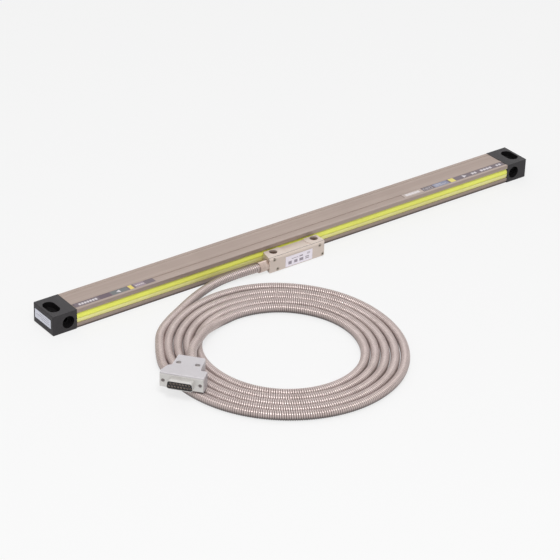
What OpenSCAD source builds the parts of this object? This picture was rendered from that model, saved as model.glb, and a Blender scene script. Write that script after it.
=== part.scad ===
// Sealed linear encoder with a glass scale: an aluminium extrusion between two
// mounting blocks, and a reading head that slides along it on a cable.
// +X runs along the scale, -Y is the side with the slot, +Z is up.
// The origin is the middle of the base face.

/* [Scale body] */
// Overall length of the scale
body_l = 570; // [420:10:1200]
// Depth of the section, from slot side to back
body_w = 33; // [31:0.5:40]
// Height of the section
body_h = 20; // [20:0.5:26]
// Length of each end block
end_l = 25.3; // [24:0.1:40]
// Thickness of the gasket behind each end block
gasket_t = 0.4; // [0.2:0.1:1]
// How far the plug of an end block reaches into the extrusion
plug_in = 6; // [4:0.5:10]
// Chamfer along the edges of an end block
end_chamfer = 0.6; // [0.2:0.1:1.2]

/* [Extrusion section] */
// Thickness of the floor
floor_t = 2.4; // [1.6:0.1:3]
// Thickness of the roof
roof_t = 2.8; // [2:0.1:3]
// Thickness of the back wall
back_t = 2.9; // [2:0.1:4]
// Depth of the two flanges that hold the seal lips
flange_d = 4.5; // [4:0.1:6]
// Lower edge of the slot
slot_low = 5.5; // [4.5:0.1:6]
// Upper edge of the slot
slot_high = 16; // [15:0.1:16.4]
// Height of the rebate along the foot of the slot side
rebate_h = 2.3; // [1:0.1:3]
// Depth of the rebate
rebate_d = 1; // [0.4:0.1:2]
// Depth of the shallow channel in the roof
channel_d = 0.4; // [0.2:0.05:0.8]
// Width of the shallow channel
channel_w = 7; // [4:0.5:9]
// Distance from the slot side to the channel
channel_y = 3; // [2:0.5:5]
// Distance from the slot side to the step in the roof
step_y = 12.5; // [11:0.5:16]
// Height of the step in the roof
step_h = 0.3; // [0.1:0.05:0.5]
// Distance from the back to the reference groove
groove_y = 4; // [2:0.5:6]

/* [Mounting holes] */
// Diameter of the mounting holes in the end blocks
mount_d = 5.5; // [4.5:0.1:6.5]
// Distance from the end to the upright hole
top_hole_x = 8.8; // [8:0.1:12]
// Width of the long pocket round the upright hole
pocket_w = 12; // [9:0.5:14]
// Length of that pocket across the body
pocket_l = 20; // [14:0.5:24]
// Depth of the pocket
pocket_d = 6; // [3:0.5:8]
// Distance from the end to the level hole
side_hole_x = 16.7; // [15.5:0.1:17]
// Height of the level hole
side_hole_z = 9.5; // [8:0.1:11]
// Diameter of the round counterbore at its mouth
side_bore_d = 12.4; // [9:0.1:13]
// Depth of the counterbore
side_bore_depth = 6; // [3:0.5:8]
// Diameter of the screws that hold the end blocks from below
end_screw_d = 2; // [1.6:0.1:2.5]
// Distance between those screws across the body
end_screw_pitch = 14; // [10:0.5:16]

/* [Glass scale] */
// Thickness of the glass
glass_t = 2.4; // [1.8:0.1:3]
// Width of the glass
glass_w = 16; // [12:0.5:17]
// Gap between the end of the glass and the plug of an end block
glass_end_gap = 1.2; // [0.5:0.1:4]
// Width of the ledge that carries the glass
ledge_w = 5.6; // [4:0.1:7]
// Height of the ledge below the roof
ledge_h = 2.9; // [2.8:0.1:3.4]
// Thickness of the elastic bond between glass and ledge
bond_t = 0.2; // [0.1:0.05:0.5]
// Width of the bond
bond_w = 4; // [2:0.1:5]

/* [Seal lips] */
// Height where the two lips meet
lip_mid = 10; // [9.6:0.1:10.4]
// Gap that the lips leave for the blade
lip_gap = 1.6; // [1.6:0.05:2]
// Thickness of a lip at its root
lip_root_t = 1.3; // [0.8:0.1:1.8]
// Thickness of a lip at its tip
lip_tip_t = 0.6; // [0.4:0.1:1]
// Distance from the slot side back to the root of a lip
lip_root_y = 2.2; // [2:0.1:2.6]
// How far the lower lip bulges out over its root
lip_bulge = 0.6; // [0:0.1:0.8]
// Length of the inner tongue along the edge of a lip
tongue_l = 2.2; // [1:0.1:2.6]
// Width of the bead that holds a lip in its groove
bead_w = 2.2; // [1.8:0.1:2.6]
// Height of the bead
bead_h = 1; // [0.6:0.1:1.2]

/* [Strips and label] */
// Length of the printed strip at the left end
strip_left_l = 87; // [60:1:160]
// Length of the printed strip at the right end
strip_right_l = 132; // [60:1:160]
// Thickness of the strips
strip_t = 0.3; // [0.1:0.05:0.35]
// Distance from the end block to the strip
strip_end_gap = 1; // [0.5:0.5:10]
// Width of the end label across the body
label_w = 26.9; // [16:0.1:28]
// Height of the end label
label_h = 9; // [6:0.1:12]
// Thickness of the labels, which lie flush
label_t = 0.3; // [0.1:0.05:0.6]

/* [Reading head] */
// Place of the middle of the head along the scale
head_x = -22; // [-60:1:60]
// Length of the head
head_l = 66.9; // [60:0.1:80]
// Depth of the head
head_d = 15.6; // [15:0.1:20]
// Gap between the head and the body
head_gap = 1.5; // [1:0.1:3]
// Height of the underside of the head above the base
head_z = 0.5; // [0.3:0.1:2]
// Height of the head
head_h = 15; // [14:0.1:18]
// How far the left end slants
head_slant = 3.6; // [0:0.1:6]
// Radius of the right front corner
head_corner_r = 3.5; // [1:0.1:4]
// Thickness of the front cover
cover_t = 2.2; // [1.5:0.1:3]
// Thickness of the gasket behind the cover
cover_gasket_t = 0.3; // [0.2:0.05:0.6]
// Chamfer along the top edge of the cover
cover_chamfer = 1.2; // [0.3:0.1:1.5]
// Distance between the two upright mounting holes
head_hole_pitch = 48.5; // [46:0.1:49]
// Diameter of those holes
head_hole_d = 4.5; // [3:0.1:5]
// Diameter of their counterbores
head_bore_d = 8; // [6:0.1:8.4]
// Depth of their counterbores
head_bore_depth = 4.5; // [2:0.1:6]
// Distance from the back of the head to those holes
head_hole_y = 4.6; // [4.4:0.1:5]
// Radius of the round pads about the holes
pad_r = 10.3; // [9:0.1:11]
// Depth of the recess between the pads
head_recess = 0.9; // [0.3:0.1:1.4]
// Width of the head label
head_label_w = 32; // [20:0.5:36]
// Height of the head label
head_label_h = 11; // [8:0.5:12]
// Diameter of the cover screws
cover_screw_d = 2; // [1.6:0.1:2.5]
// Distance from the left end to the upper left cover screw
upper_left_in = 5.9; // [5:0.1:8]
// Distance from the left end to the lower left cover screw
lower_left_in = 9.8; // [6:0.1:12]
// Distance from the right end to the upper right cover screw
upper_right_in = 7.1; // [5:0.1:9]
// Distance from the right end to the lower right cover screw
lower_right_in = 3.4; // [3:0.1:6]
// Distance from the top to the upper left cover screw
upper_left_down = 2.3; // [2:0.1:3]
// Distance from the top to the upper right cover screw
upper_right_down = 2.9; // [2:0.1:3]
// Height of the lower cover screws over the underside
lower_up = 2.1; // [2:0.1:3]

/* [Circuit board] */
// Thickness of the board in the head
board_t = 1; // [0.6:0.1:1.6]
// Length of the board
board_l = 36; // [30:0.5:38]
// Height of the board
board_h = 10.4; // [8:0.1:11]

/* [Blade and carriage] */
// Thickness of the blade
blade_t = 0.8; // [0.6:0.05:1]
// Length of the blade between the lips
blade_l = 40; // [30:1:40]
// Length of the foot of the blade in the head
blade_foot_l = 36; // [30:1:36]
// Length of the wedge at each end of the blade
blade_wedge = 4; // [3:0.5:10]
// Diameter of the screws that hold the blade
blade_screw_d = 1.6; // [1.4:0.1:1.8]
// Thickness of the flat cable on the blade
flex_t = 0.2; // [0.1:0.05:0.2]
// Width of the flat cable
flex_w = 6; // [4:0.5:7]
// Length of the carriage
carriage_l = 60; // [56:1:70]
// Thickness of the lower beam of the carriage
carriage_t = 4.4; // [3:0.1:4.6]
// How far the beam reaches out past the edge of the glass
beam_out = 6.2; // [5.6:0.1:7]
// How far the beam reaches in under the glass
beam_in = 8; // [7.8:0.1:10]
// How far the arm reaches in over the glass
arm_in = 9.5; // [8:0.1:10]
// Length of the arm over the glass
arm_l = 28; // [20:1:34]
// Thickness of the arm over the glass
arm_t = 2; // [1.6:0.1:2.1]

/* [Bearings] */
// Outer diameter of the ball bearings
bearing_d = 5; // [4:0.1:5]
// Width of the bearings
bearing_w = 2; // [1.5:0.1:2.3]
// Diameter of their pins
bearing_pin_d = 1.5; // [1:0.1:2]
// Diameter of the inner rings
inner_ring_d = 2.8; // [2.4:0.1:3]
// Distance between the bearings along the scale
bearing_pitch = 48; // [42:1:52]

/* [Optics] */
// Diameter of the condenser lens
lens_d = 6; // [4:0.1:7]
// Thickness of the lens at its rim
lens_t = 0.8; // [0.5:0.1:1]
// Length of the scanning plate
reticle_l = 19; // [14:0.5:22]
// Width of the scanning plate
reticle_w = 9; // [7:0.5:9.5]
// Thickness of the scanning plate
reticle_t = 1; // [0.6:0.1:1]

/* [Cable] */
// Diameter of the armoured conduit
conduit_d = 8.6; // [6:0.1:9]
// Outer diameter of the gland barrel
barrel_d = 10.7; // [9:0.1:11]
// Length of the gland barrel
barrel_l = 10; // [6:0.5:20]
// Height of the middle of the barrel
barrel_z = 7.3; // [6.5:0.1:8]
// Distance from the front of the head to the middle of the barrel
barrel_y = 5.6; // [5.4:0.1:6]
// Diameter of the spigot that screws into the head
spigot_d = 5.6; // [4:0.1:5.8]
// Length of the spigot
spigot_l = 7; // [4:0.5:7]
// Depth of the socket that takes the conduit
socket_depth = 3; // [2:0.5:6]
// Inner radius of the coil
coil_in = 66.6; // [60:1:80]
// Outer radius of the coil
coil_out = 115.4; // [100:0.1:130]

/* [Plug] */
// Width of the metal flange
flange_w = 39.2; // [39:0.1:40]
// Height of the metal flange
flange_h = 12.5; // [12:0.1:13]
// Thickness of the metal flange
flange_t = 1; // [0.8:0.1:1.2]
// Length of the metal nose in front of the flange
nose_l = 5.8; // [5:0.1:6.2]
// Width of the nose at its wide side
nose_w = 24.8; // [24:0.1:25.4]
// Height of the nose
nose_h = 8.2; // [8:0.1:8.6]
// Wall of the nose
nose_wall = 0.5; // [0.4:0.05:0.6]
// Slant of the sides of the nose in degrees
nose_slant = 10; // [5:1:12]
// Distance between neighbouring contacts in a row
contact_pitch = 2.77; // [2.7:0.01:2.8]
// Distance between the two rows of contacts
row_pitch = 2.84; // [2.7:0.01:3]
// Outer diameter of a contact
contact_d = 1.6; // [1.2:0.1:1.8]
// Height of the hood
hood_h = 15; // [14:0.5:17]
// Length of the hood
hood_l = 33; // [30:0.5:40]
// Width of the rear part of the hood
hood_rear_w = 26; // [24:0.5:28]
// Wall of the hood
hood_wall = 2; // [1.2:0.1:2.4]
// Bevel along the front edges of the hood
hood_bevel = 0.8; // [0.2:0.1:1.5]
// Distance between the two jackscrews
jack_pitch = 33.3; // [33:0.1:34]
// Diameter of a jackscrew
jack_d = 2.8; // [2.4:0.1:3]
// Diameter of the head of a jackscrew
jack_head_d = 4.4; // [3.6:0.1:5]
// Length of the head of a jackscrew
jack_head_l = 4; // [2:0.5:4.5]
// Distance between the hood screws across the hood
hood_screw_pitch = 17.2; // [15:0.1:18]
// Distance from the flange to the hood screws
hood_screw_y = 20.5; // [18:0.5:22]
// Diameter of the hood screws
hood_screw_d = 2.5; // [2:0.1:3]

/* [Clearances] */
// Gap between a plug or board and the walls round it
fit_gap = 0.15; // [0.05:0.05:0.3]
// Gap between a moving piece and the wall that it passes
run_gap = 0.3; // [0.3:0.05:0.6]
// Radial clearance of a turning fit
turn_gap = 0.05; // [0.02:0.01:0.1]
// Gap between a bearing and the glass
roll_gap = 0.03; // [0.02:0.01:0.1]
// Radial clearance of a screw in its hole
screw_gap = 0.1; // [0.05:0.05:0.3]
// Gap between the hood of the plug and the coil under it
lie_gap = 0.3; // [0.2:0.05:0.5]

/* [Hidden] */
$fn = 48;
eps = 0.01;

// Body
half_l = body_l / 2;
front_y = -body_w / 2;
back_y = body_w / 2;
seam_x = half_l - end_l;
extrusion_l = 2 * (seam_x - gasket_t);
roof_z = body_h - roof_t;
cavity_y0 = front_y + flange_d;
cavity_y1 = back_y - back_t;
plug_x = seam_x - gasket_t - plug_in;
end_screw_x = plug_x + plug_in / 2 - 0.5;
v_depth = 0.5;

// Glass
ledge_z = roof_z - ledge_h;
glass_top = ledge_z - bond_t;
glass_z = glass_top - glass_t;
glass_y1 = cavity_y1 - 1;
glass_y0 = glass_y1 - glass_w;
glass_half = plug_x - glass_end_gap;

// Lips
lip_y = front_y + lip_root_y;
lip_tip_y = front_y + 0.25;

// Head
head_y1 = front_y - head_gap;
head_y0 = head_y1 - head_d;
head_x0 = head_x - head_l / 2;
head_x1 = head_x + head_l / 2;
head_top = head_z + head_h;
head_hole_x0 = head_x + 2.75 - head_hole_pitch / 2;
head_hole_x1 = head_hole_x0 + head_hole_pitch;
head_hole_yc = head_y1 - head_hole_y;
seam_y = head_y0 + cover_t;
case_y = seam_y + cover_gasket_t;
bay_wall = 2;
bay_x0 = head_x - board_l / 2 - fit_gap;
bay_x1 = head_x + board_l / 2 + fit_gap;
bay_z0 = head_z + bay_wall;
bay_z1 = head_top - head_recess - bay_wall;
board_y = case_y + 1.6;
bay_step = 2;
back_wall = 3;
bay_y1 = head_y1 - back_wall;
cover_screws_xz = [
    [head_x0 + upper_left_in, head_top - upper_left_down],
    [head_x0 + lower_left_in, head_z + lower_up],
    [head_x1 - upper_right_in, head_top - upper_right_down],
    [head_x1 - lower_right_in, head_z + lower_up]
];
cover_screw_l = cover_t + cover_gasket_t + 3.2;
cover_head_d = 2 * cover_screw_d - 0.4;
cover_head_h = 1;

// Blade, in the middle of the gap between the lips with the flat cable on it
blade_z = lip_mid - (blade_t + flex_t) / 2;
blade_top = blade_z + blade_t;
blade_root_y = bay_y1 - 0.8;
blade_end_y = cavity_y0 + 1.6;
blade_screw_x = 13;
blade_screw_y = head_y1 - 1.9;

// Carriage
beam_z0 = floor_t + 1;
beam_z1 = beam_z0 + carriage_t;
beam_y0 = glass_y0 - beam_out;
beam_y1 = glass_y0 + beam_in;
arm_z0 = glass_top + 0.5;
arm_z1 = arm_z0 + arm_t;
web_y1 = glass_y0 - 0.7;
arm_y1 = glass_y0 + arm_in;
bearing_r = bearing_d / 2;
face_z = glass_z - bearing_r - roll_gap;
edge_y = glass_y0 - bearing_r - roll_gap;
edge_z = glass_z + glass_t / 2;
boss_w = 7;
boss_t = 2.6;
boss_y0 = beam_y1 - boss_t - bearing_w - 2 * run_gap;
boss_y1 = boss_y0 + boss_t;
boss_top = glass_z - 0.6;
face_back_y = boss_y1 + run_gap;
face_front_y = boss_y0 - run_gap - bearing_w;
pedestal_z = glass_z - reticle_t - run_gap;
window_l = 15;
window_w = 6;
window_y = glass_y0 + 0.9;
optic_y = window_y + window_w / 2;
dome_h = 0.2;
detector_t = 1;
detector_z = beam_z1 + 0.4;
flex_x = head_x - (arm_l / 2 - 5);
flex_y0 = board_y + board_t + 1.2;

// Gland and conduit
gland_y = head_y0 + barrel_y;
gland_x = head_x0;
conduit_r = conduit_d / 2;
passage_r = spigot_d / 2 - 0.7;
lead_points = [
    [gland_x - barrel_l + socket_depth, gland_y, barrel_z], [-66, gland_y, barrel_z],
    [-69.5, gland_y, barrel_z], [-79, -26.9, 6.9], [-92, -25.6, 6], [-106, -25.4, 5.1],
    [-120, -27.6, 4.5], [-134, -32.2, conduit_r], [-150, -38.9, conduit_r], [-168, -48, conduit_r]
];
coil_centre = [-130, -154.5];
coil_round = 3.4;

// Plug
plug_at = [-248.65, -166.8];
plug_yaw = -51;
plug_z = conduit_d + lie_gap;
hood_mid = hood_h / 2;
hood_half_w = flange_w / 2 + 0.2;
hood_front = flange_t;
ear_y = 12.5;
jack_head_y = 7.5;
jack_x = jack_pitch / 2;
ferrule_l = 5;
ferrule_r = conduit_r + 1.1;
ferrule_y = hood_l - 3.3 - ferrule_l;
insulator_rear = 5;
nose_r = 2.6;
tail_points = [
    plug_point(ferrule_y), plug_point(ferrule_y + ferrule_l + 0.3), plug_point(hood_l + 1.5),
    [-216, -135.6, 15.9], [-207.2, -123.8, 13.8], [-196.8, -114.2, 12.9], [-185.5, -106.3, 12.5],
    [-175.5, -99, 10.6], [-165, -92.5, 7.6], [-153.6, -87.3, 5.3], [-143, -84.7, 4.5]
];

// A point on the axis of the plug, y behind its flange
function plug_point(y) = [
    plug_at[0] - y * sin(plug_yaw), plug_at[1] + y * cos(plug_yaw), plug_z + hood_mid
];

// ---- Helpers

// Extrudes a Y-Z outline along X from x0 to x1
module along_x(x0, x1) {
    translate([x0, 0, 0]) rotate([90, 0, 90]) linear_extrude(x1 - x0) children();
}

// Extrudes an X-Z outline along Y from y0 to y1
module along_y(y0, y1) {
    translate([0, y1, 0]) rotate([90, 0, 0]) linear_extrude(y1 - y0) children();
}

// A block from corner a to corner b
module block(a, b) {
    translate(a) cube(b - a);
}

// Round bar along Y
module bar_y(x, y0, y1, z, r) {
    translate([x, y1, z]) rotate([90, 0, 0]) cylinder(h = y1 - y0, r = r);
}

// Round bar along X
module bar_x(x0, x1, y, z, r) {
    translate([x0, y, z]) rotate([0, 90, 0]) cylinder(h = x1 - x0, r = r);
}

// Slot with round ends, l long in all and w wide
module obround(l, w) {
    square([l - w, w], center = true);
    for (s = [-1, 1]) translate([s * (l - w) / 2, 0]) circle(d = w);
}

// Places children on both sides of the middle, the second one mirrored
module both_ends() {
    children();
    mirror([1, 0, 0]) children();
}

function unit(v) = v / norm(v);
function side_of(t) = unit(cross([0, 0, 1], t));
function ring(p, t, r, n) = [
    for (k = [0:n - 1]) let (a = 360 * k / n)
        p + r * (cos(a) * side_of(t) + sin(a) * cross(t, side_of(t)))
];
function direction(p, i) =
    i == 0 ? unit(p[1] - p[0])
    : i == len(p) - 1 ? unit(p[i] - p[i - 1])
    : unit(unit(p[i + 1] - p[i]) + unit(p[i] - p[i - 1]));
function midpoint_cubic(p, i, t) =
    let (a = p[max(i - 1, 0)], b = p[i], c = p[i + 1], d = p[min(i + 2, len(p) - 1)])
    0.5 * (2 * b + (c - a) * t + (2 * a - 5 * b + 4 * c - d) * t * t
        + (3 * b - a - 3 * c + d) * t * t * t);
function smooth_route(p, steps) = concat(
    [for (i = [0:len(p) - 2]) for (s = [0:steps - 1]) midpoint_cubic(p, i, s / steps)],
    [p[len(p) - 1]]
);

// A tube of radius r swept along a route
module tube(route, r, sides = 10) {
    n = len(route);
    rings = [for (i = [0:n - 1]) ring(route[i], direction(route, i), r, sides)];
    walls = [
        for (i = [0:n - 2]) for (k = [0:sides - 1]) let (m = (k + 1) % sides)
            each [
                [i * sides + k, i * sides + m, (i + 1) * sides + m],
                [i * sides + k, (i + 1) * sides + m, (i + 1) * sides + k]
            ]
    ];
    caps = [
        [for (k = [sides - 1:-1:0]) k],
        [for (k = [0:sides - 1]) (n - 1) * sides + k]
    ];
    polyhedron([for (q = rings) each q], concat(walls, caps));
}

// ---- Scale body

module section_outline() {
    translate([front_y, 0]) square([body_w, body_h]);
}

module cavity_outline() {
    difference() {
        translate([cavity_y0, floor_t]) square([cavity_y1 - cavity_y0, roof_z - floor_t]);
        translate([cavity_y1 - ledge_w, ledge_z]) square([ledge_w + 1, ledge_h + 1]);
    }
}

module lip_groove(z, up) {
    neck_w = bead_w - 0.8;
    translate([lip_y, z]) scale([1, up]) {
        translate([-neck_w / 2, -eps]) square([neck_w, 0.5 + eps]);
        translate([-bead_w / 2, 0.5]) square([bead_w, bead_h]);
    }
}

module extrusion_outline() {
    difference() {
        section_outline();
        cavity_outline();
        translate([front_y - 1, slot_low]) square([flange_d + 2, slot_high - slot_low]);
        translate([front_y - 1, -1]) square([rebate_d + 1, rebate_h + 1]);
        translate([front_y + channel_y, body_h - channel_d]) square([channel_w, channel_d + 1]);
        translate([front_y + step_y, body_h - step_h]) square([body_w, step_h + 1]);
        translate([back_y - groove_y, body_h - step_h])
            polygon([[-v_depth, 0], [0, -v_depth], [v_depth, 0]]);
        lip_groove(slot_high, 1);
        lip_groove(slot_low, -1);
    }
}

module end_screw_places() {
    for (x = [-end_screw_x, end_screw_x]) for (s = [-1, 1])
        translate([x, s * end_screw_pitch / 2, 0]) children();
}

module countersunk(r, l, grow = 0) {
    head_h = r;
    translate([0, 0, -eps * grow]) cylinder(h = head_h + eps * grow, r1 = 2 * r + grow, r2 = r + grow);
    cylinder(h = l, r = r + grow);
}

module housing_extrusion() color([0.67, 0.61, 0.58]) {
    difference() {
        along_x(-extrusion_l / 2, extrusion_l / 2) extrusion_outline();
        end_screw_places() countersunk(end_screw_d / 2, floor_t + 1, screw_gap);
    }
}

// Outline of an end block between v0 and v1, with its outer corners cut
module chamfered_end(v0, v1) {
    x = half_l - end_chamfer;
    polygon([
        [seam_x, v0], [x, v0], [half_l, v0 + end_chamfer], [half_l, v1 - end_chamfer], [x, v1],
        [seam_x, v1]
    ]);
}

// The right end block, with its long pocket, its two holes and its plug
module end_block() color([0.16, 0.16, 0.17]) {
    difference() {
        union() {
            intersection() {
                along_x(seam_x, half_l) section_outline();
                along_y(front_y, back_y) chamfered_end(0, body_h);
                linear_extrude(body_h) chamfered_end(front_y, back_y);
            }
            block([plug_x, cavity_y0 + fit_gap, floor_t + fit_gap],
                [seam_x, cavity_y1 - fit_gap, ledge_z - fit_gap]);
        }
        top_x = half_l - top_hole_x;
        side_x = half_l - side_hole_x;
        translate([top_x, 0, body_h - pocket_d]) rotate(90)
            linear_extrude(pocket_d + 1) obround(pocket_l, pocket_w);
        translate([top_x, 0, -1]) cylinder(h = body_h + 2, d = mount_d);
        bar_y(side_x, front_y - 1, front_y + side_bore_depth, side_hole_z, side_bore_d / 2);
        bar_y(side_x, front_y - 1, back_y + 1, side_hole_z, mount_d / 2);
        end_screw_places() translate([0, 0, floor_t]) cylinder(h = 5, d = end_screw_d);
    }
}

module end_block_left() difference() {
    mirror([1, 0, 0]) end_block();
    label_pocket();
}

module label_pocket() color([0.16, 0.16, 0.17]) {
    block([-half_l - 1, -label_w / 2 + 0.55 - fit_gap, side_hole_z + 1 - label_h / 2 - fit_gap],
        [-half_l + label_t, label_w / 2 + 0.55 + fit_gap, side_hole_z + 1 + label_h / 2 + fit_gap]);
}

module end_block_right() end_block();

module end_gaskets() color([0.08, 0.08, 0.08]) both_ends() {
    along_x(seam_x - gasket_t, seam_x) difference() {
        section_outline();
        cavity_outline();
        translate([front_y - 1, -1]) square([rebate_d + 1, rebate_h + 1]);
    }
}

module end_block_screws() color("silver") end_screw_places() {
    countersunk(end_screw_d / 2, floor_t + 3.5);
}

// One lip: a bead in its groove, a wall that leans out and a tongue along its edge
module lip_outline(root_z, up, bulge) {
    reach = abs(root_z - lip_mid) - lip_gap / 2;
    neck = bead_w / 2 - 0.4 - fit_gap;
    bead = bead_w / 2 - fit_gap;
    bead_z0 = 0.5 + fit_gap;
    bead_z1 = 0.5 + bead_h - fit_gap;
    root = lip_root_t / 2;
    tip_y1 = lip_tip_y + lip_tip_t;
    translate([0, root_z]) scale([1, up]) polygon([
        [lip_y - bead, bead_z0], [lip_y - bead, bead_z1], [lip_y + bead, bead_z1],
        [lip_y + bead, bead_z0], [lip_y + neck, bead_z0], [lip_y + neck, -fit_gap],
        [lip_y + root, -fit_gap], [lip_y + root, -0.3 * reach], [tip_y1 + 0.3, -reach + 0.9],
        [tip_y1 + 0.1, -reach + 0.35], [tip_y1 + tongue_l, -reach + 0.35],
        [tip_y1 + tongue_l, -reach], [lip_tip_y, -reach], [lip_tip_y, -0.75 * reach],
        [lip_y - root - 1.1 * bulge - 0.1, -0.25 * reach], [lip_y - root - bulge, -fit_gap],
        [lip_y - neck, -fit_gap], [lip_y - neck, bead_z0]
    ]);
}

module upper_seal_lip() color([0.85, 0.87, 0.42]) {
    along_x(-extrusion_l / 2, extrusion_l / 2) lip_outline(slot_high, 1, 0);
}

module lower_seal_lip() color([0.77, 0.75, 0.44]) {
    along_x(-extrusion_l / 2, extrusion_l / 2) lip_outline(slot_low, -1, lip_bulge);
}

module glass_scale() color([0.6, 0.75, 0.75, 0.5]) {
    block([-glass_half, glass_y0, glass_z], [glass_half, glass_y1, glass_top]);
}

module glass_bond() color([0.8, 0.8, 0.78]) {
    block([-glass_half, glass_y1 - bond_w, glass_top], [glass_half, glass_y1, ledge_z]);
}

module strip(x0, l) color([0.27, 0.24, 0.29]) {
    block([x0, front_y + channel_y + fit_gap, body_h - channel_d],
        [x0 + l, front_y + channel_y + channel_w - fit_gap, body_h - channel_d + strip_t]);
}

module strip_left() strip(-extrusion_l / 2 + strip_end_gap, strip_left_l);

module strip_right() strip(extrusion_l / 2 - strip_end_gap - strip_right_l, strip_right_l);

module end_label() color([0.93, 0.93, 0.93]) {
    block([-half_l, -label_w / 2 + 0.55, side_hole_z + 1 - label_h / 2],
        [-half_l + label_t, label_w / 2 + 0.55, side_hole_z + 1 + label_h / 2]);
}

// ---- Reading head

// Plan of the head: a slanted left end and a round right front corner
module head_plan() {
    corner = [head_x1 - head_corner_r, head_y0 + head_corner_r];
    polygon([
        [head_x0, head_y0], [corner[0], head_y0], corner, [head_x1, corner[1]],
        [head_x1, head_y1], [head_x0 + head_slant, head_y1]
    ]);
    translate(corner) circle(r = head_corner_r);
}

module head_prism(y0, y1, z0, z1) {
    intersection() {
        translate([0, 0, z0]) linear_extrude(z1 - z0) head_plan();
        block([head_x0 - 1, y0, z0 - 1], [head_x1 + 1, y1, z1 + 1]);
    }
}

module cover_screw_places() {
    for (p = cover_screws_xz) translate([p[0], 0, p[1]]) children();
}

module head_housing() color([0.80, 0.74, 0.66]) {
    difference() {
        head_prism(case_y, head_y1, head_z, head_top);
        // recess between the two round pads, open to the back
        translate([0, 0, head_top - head_recess]) linear_extrude(head_recess + 1) difference() {
            translate([head_hole_x0, case_y + 1.8])
                square([head_hole_x1 - head_hole_x0, head_d]);
            for (x = [head_hole_x0, head_hole_x1]) translate([x, head_hole_yc]) circle(r = pad_r);
        }
        for (x = [head_hole_x0, head_hole_x1]) translate([x, head_hole_yc, 0]) {
            cylinder(h = head_top + 1, d = head_hole_d);
            translate([0, 0, head_top - head_bore_depth])
                cylinder(h = head_bore_depth + 1, d = head_bore_d);
        }
        // bay for the circuit board, with a ledge all round behind the board
        block([bay_x0, case_y - 1, bay_z0], [bay_x1, board_y + board_t, bay_z1]);
        block([bay_x0 + bay_step, board_y, bay_z0 + 0.8],
            [bay_x1 - bay_step, bay_y1, bay_z1 - 0.8]);
        // passage for the wires and thread for the gland
        bar_x(head_x0 - 1, bay_x0 + 1, gland_y, barrel_z, passage_r);
        bar_x(head_x0 - 1, gland_x + spigot_l + fit_gap, gland_y, barrel_z, spigot_d / 2 + fit_gap);
        // slot for the blade and its flat cable
        block([head_x - blade_foot_l / 2 - fit_gap, blade_root_y - fit_gap, blade_z],
            [head_x + blade_foot_l / 2 + fit_gap, head_y1 + 1, blade_top + flex_t + 0.05]);
        for (s = [-1, 1]) translate([head_x + s * blade_screw_x, blade_screw_y, head_z]) {
            translate([0, 0, -1]) cylinder(h = 2.6, r = blade_screw_d + screw_gap - 0.1);
            cylinder(h = blade_z - head_z, r = blade_screw_d / 2 + screw_gap);
            cylinder(h = blade_top + 2.2 - head_z, r = blade_screw_d / 2);
        }
        cover_screw_places()
            bar_y(0, case_y - 1, head_y0 + cover_screw_l, 0, cover_screw_d / 2);
    }
}

module head_cover() color([0.82, 0.77, 0.70]) {
    difference() {
        head_prism(head_y0, seam_y, head_z, head_top);
        along_x(head_x0 - 1, head_x1 + 1)
            polygon([[head_y0 - 1, head_top - cover_chamfer], [head_y0, head_top - cover_chamfer],
                [head_y0 + cover_chamfer, head_top], [head_y0 + cover_chamfer, head_top + 1],
                [head_y0 - 1, head_top + 1]]);
        cover_screw_places() {
            bar_y(0, head_y0 - 1, seam_y + 1, 0, cover_screw_d / 2 + screw_gap);
            bar_y(0, head_y0 - 1, head_y0 + cover_head_h + 0.2, 0, cover_head_d / 2 + screw_gap);
        }
        head_label_block(label_t + 1, fit_gap);
    }
}

module head_label_block(t, grow = 0) {
    x = head_x + 1.5;
    z = head_z + 0.6;
    block([x - head_label_w / 2 - grow, head_y0 + label_t - t, z - grow],
        [x + head_label_w / 2 + grow, head_y0 + label_t, z + head_label_h + grow]);
}

module head_label() color([0.9, 0.88, 0.92]) head_label_block(label_t);

module cover_gasket() color([0.12, 0.12, 0.12]) {
    difference() {
        head_prism(seam_y, case_y, head_z, head_top);
        block([bay_x0, seam_y - 1, bay_z0], [bay_x1, case_y + 1, bay_z1]);
        cover_screw_places() bar_y(0, seam_y - 1, case_y + 1, 0, cover_screw_d / 2 + screw_gap);
    }
}

module cover_screws() color("silver") cover_screw_places() {
    difference() {
        union() {
            bar_y(0, head_y0 + 0.2, head_y0 + cover_head_h + 0.2, 0, cover_head_d / 2);
            bar_y(0, head_y0 + cover_head_h, head_y0 + cover_screw_l, 0, cover_screw_d / 2);
        }
        bar_y(0, head_y0 - 1, head_y0 + 0.8, 0, 0.75);
    }
}

module circuit_board() color([0.1, 0.4, 0.25]) {
    block([bay_x0 + fit_gap, board_y, bay_z0 + fit_gap],
        [bay_x0 + fit_gap + board_l, board_y + board_t, min(bay_z1 - fit_gap, bay_z0 + board_h)]);
}

module board_components() color([0.15, 0.15, 0.15]) {
    y = board_y;
    for (p = [[-13, 2], [-3, 3.4], [7.5, 2.4]])
        block([head_x + p[0], y - 1, bay_z0 + 3], [head_x + p[0] + 2 * p[1], y, bay_z0 + 6.6]);
    block([flex_x - 4, board_y + board_t, blade_top - 1.2],
        [flex_x + 4, flex_y0, blade_top + 0.8]);
}

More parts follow.
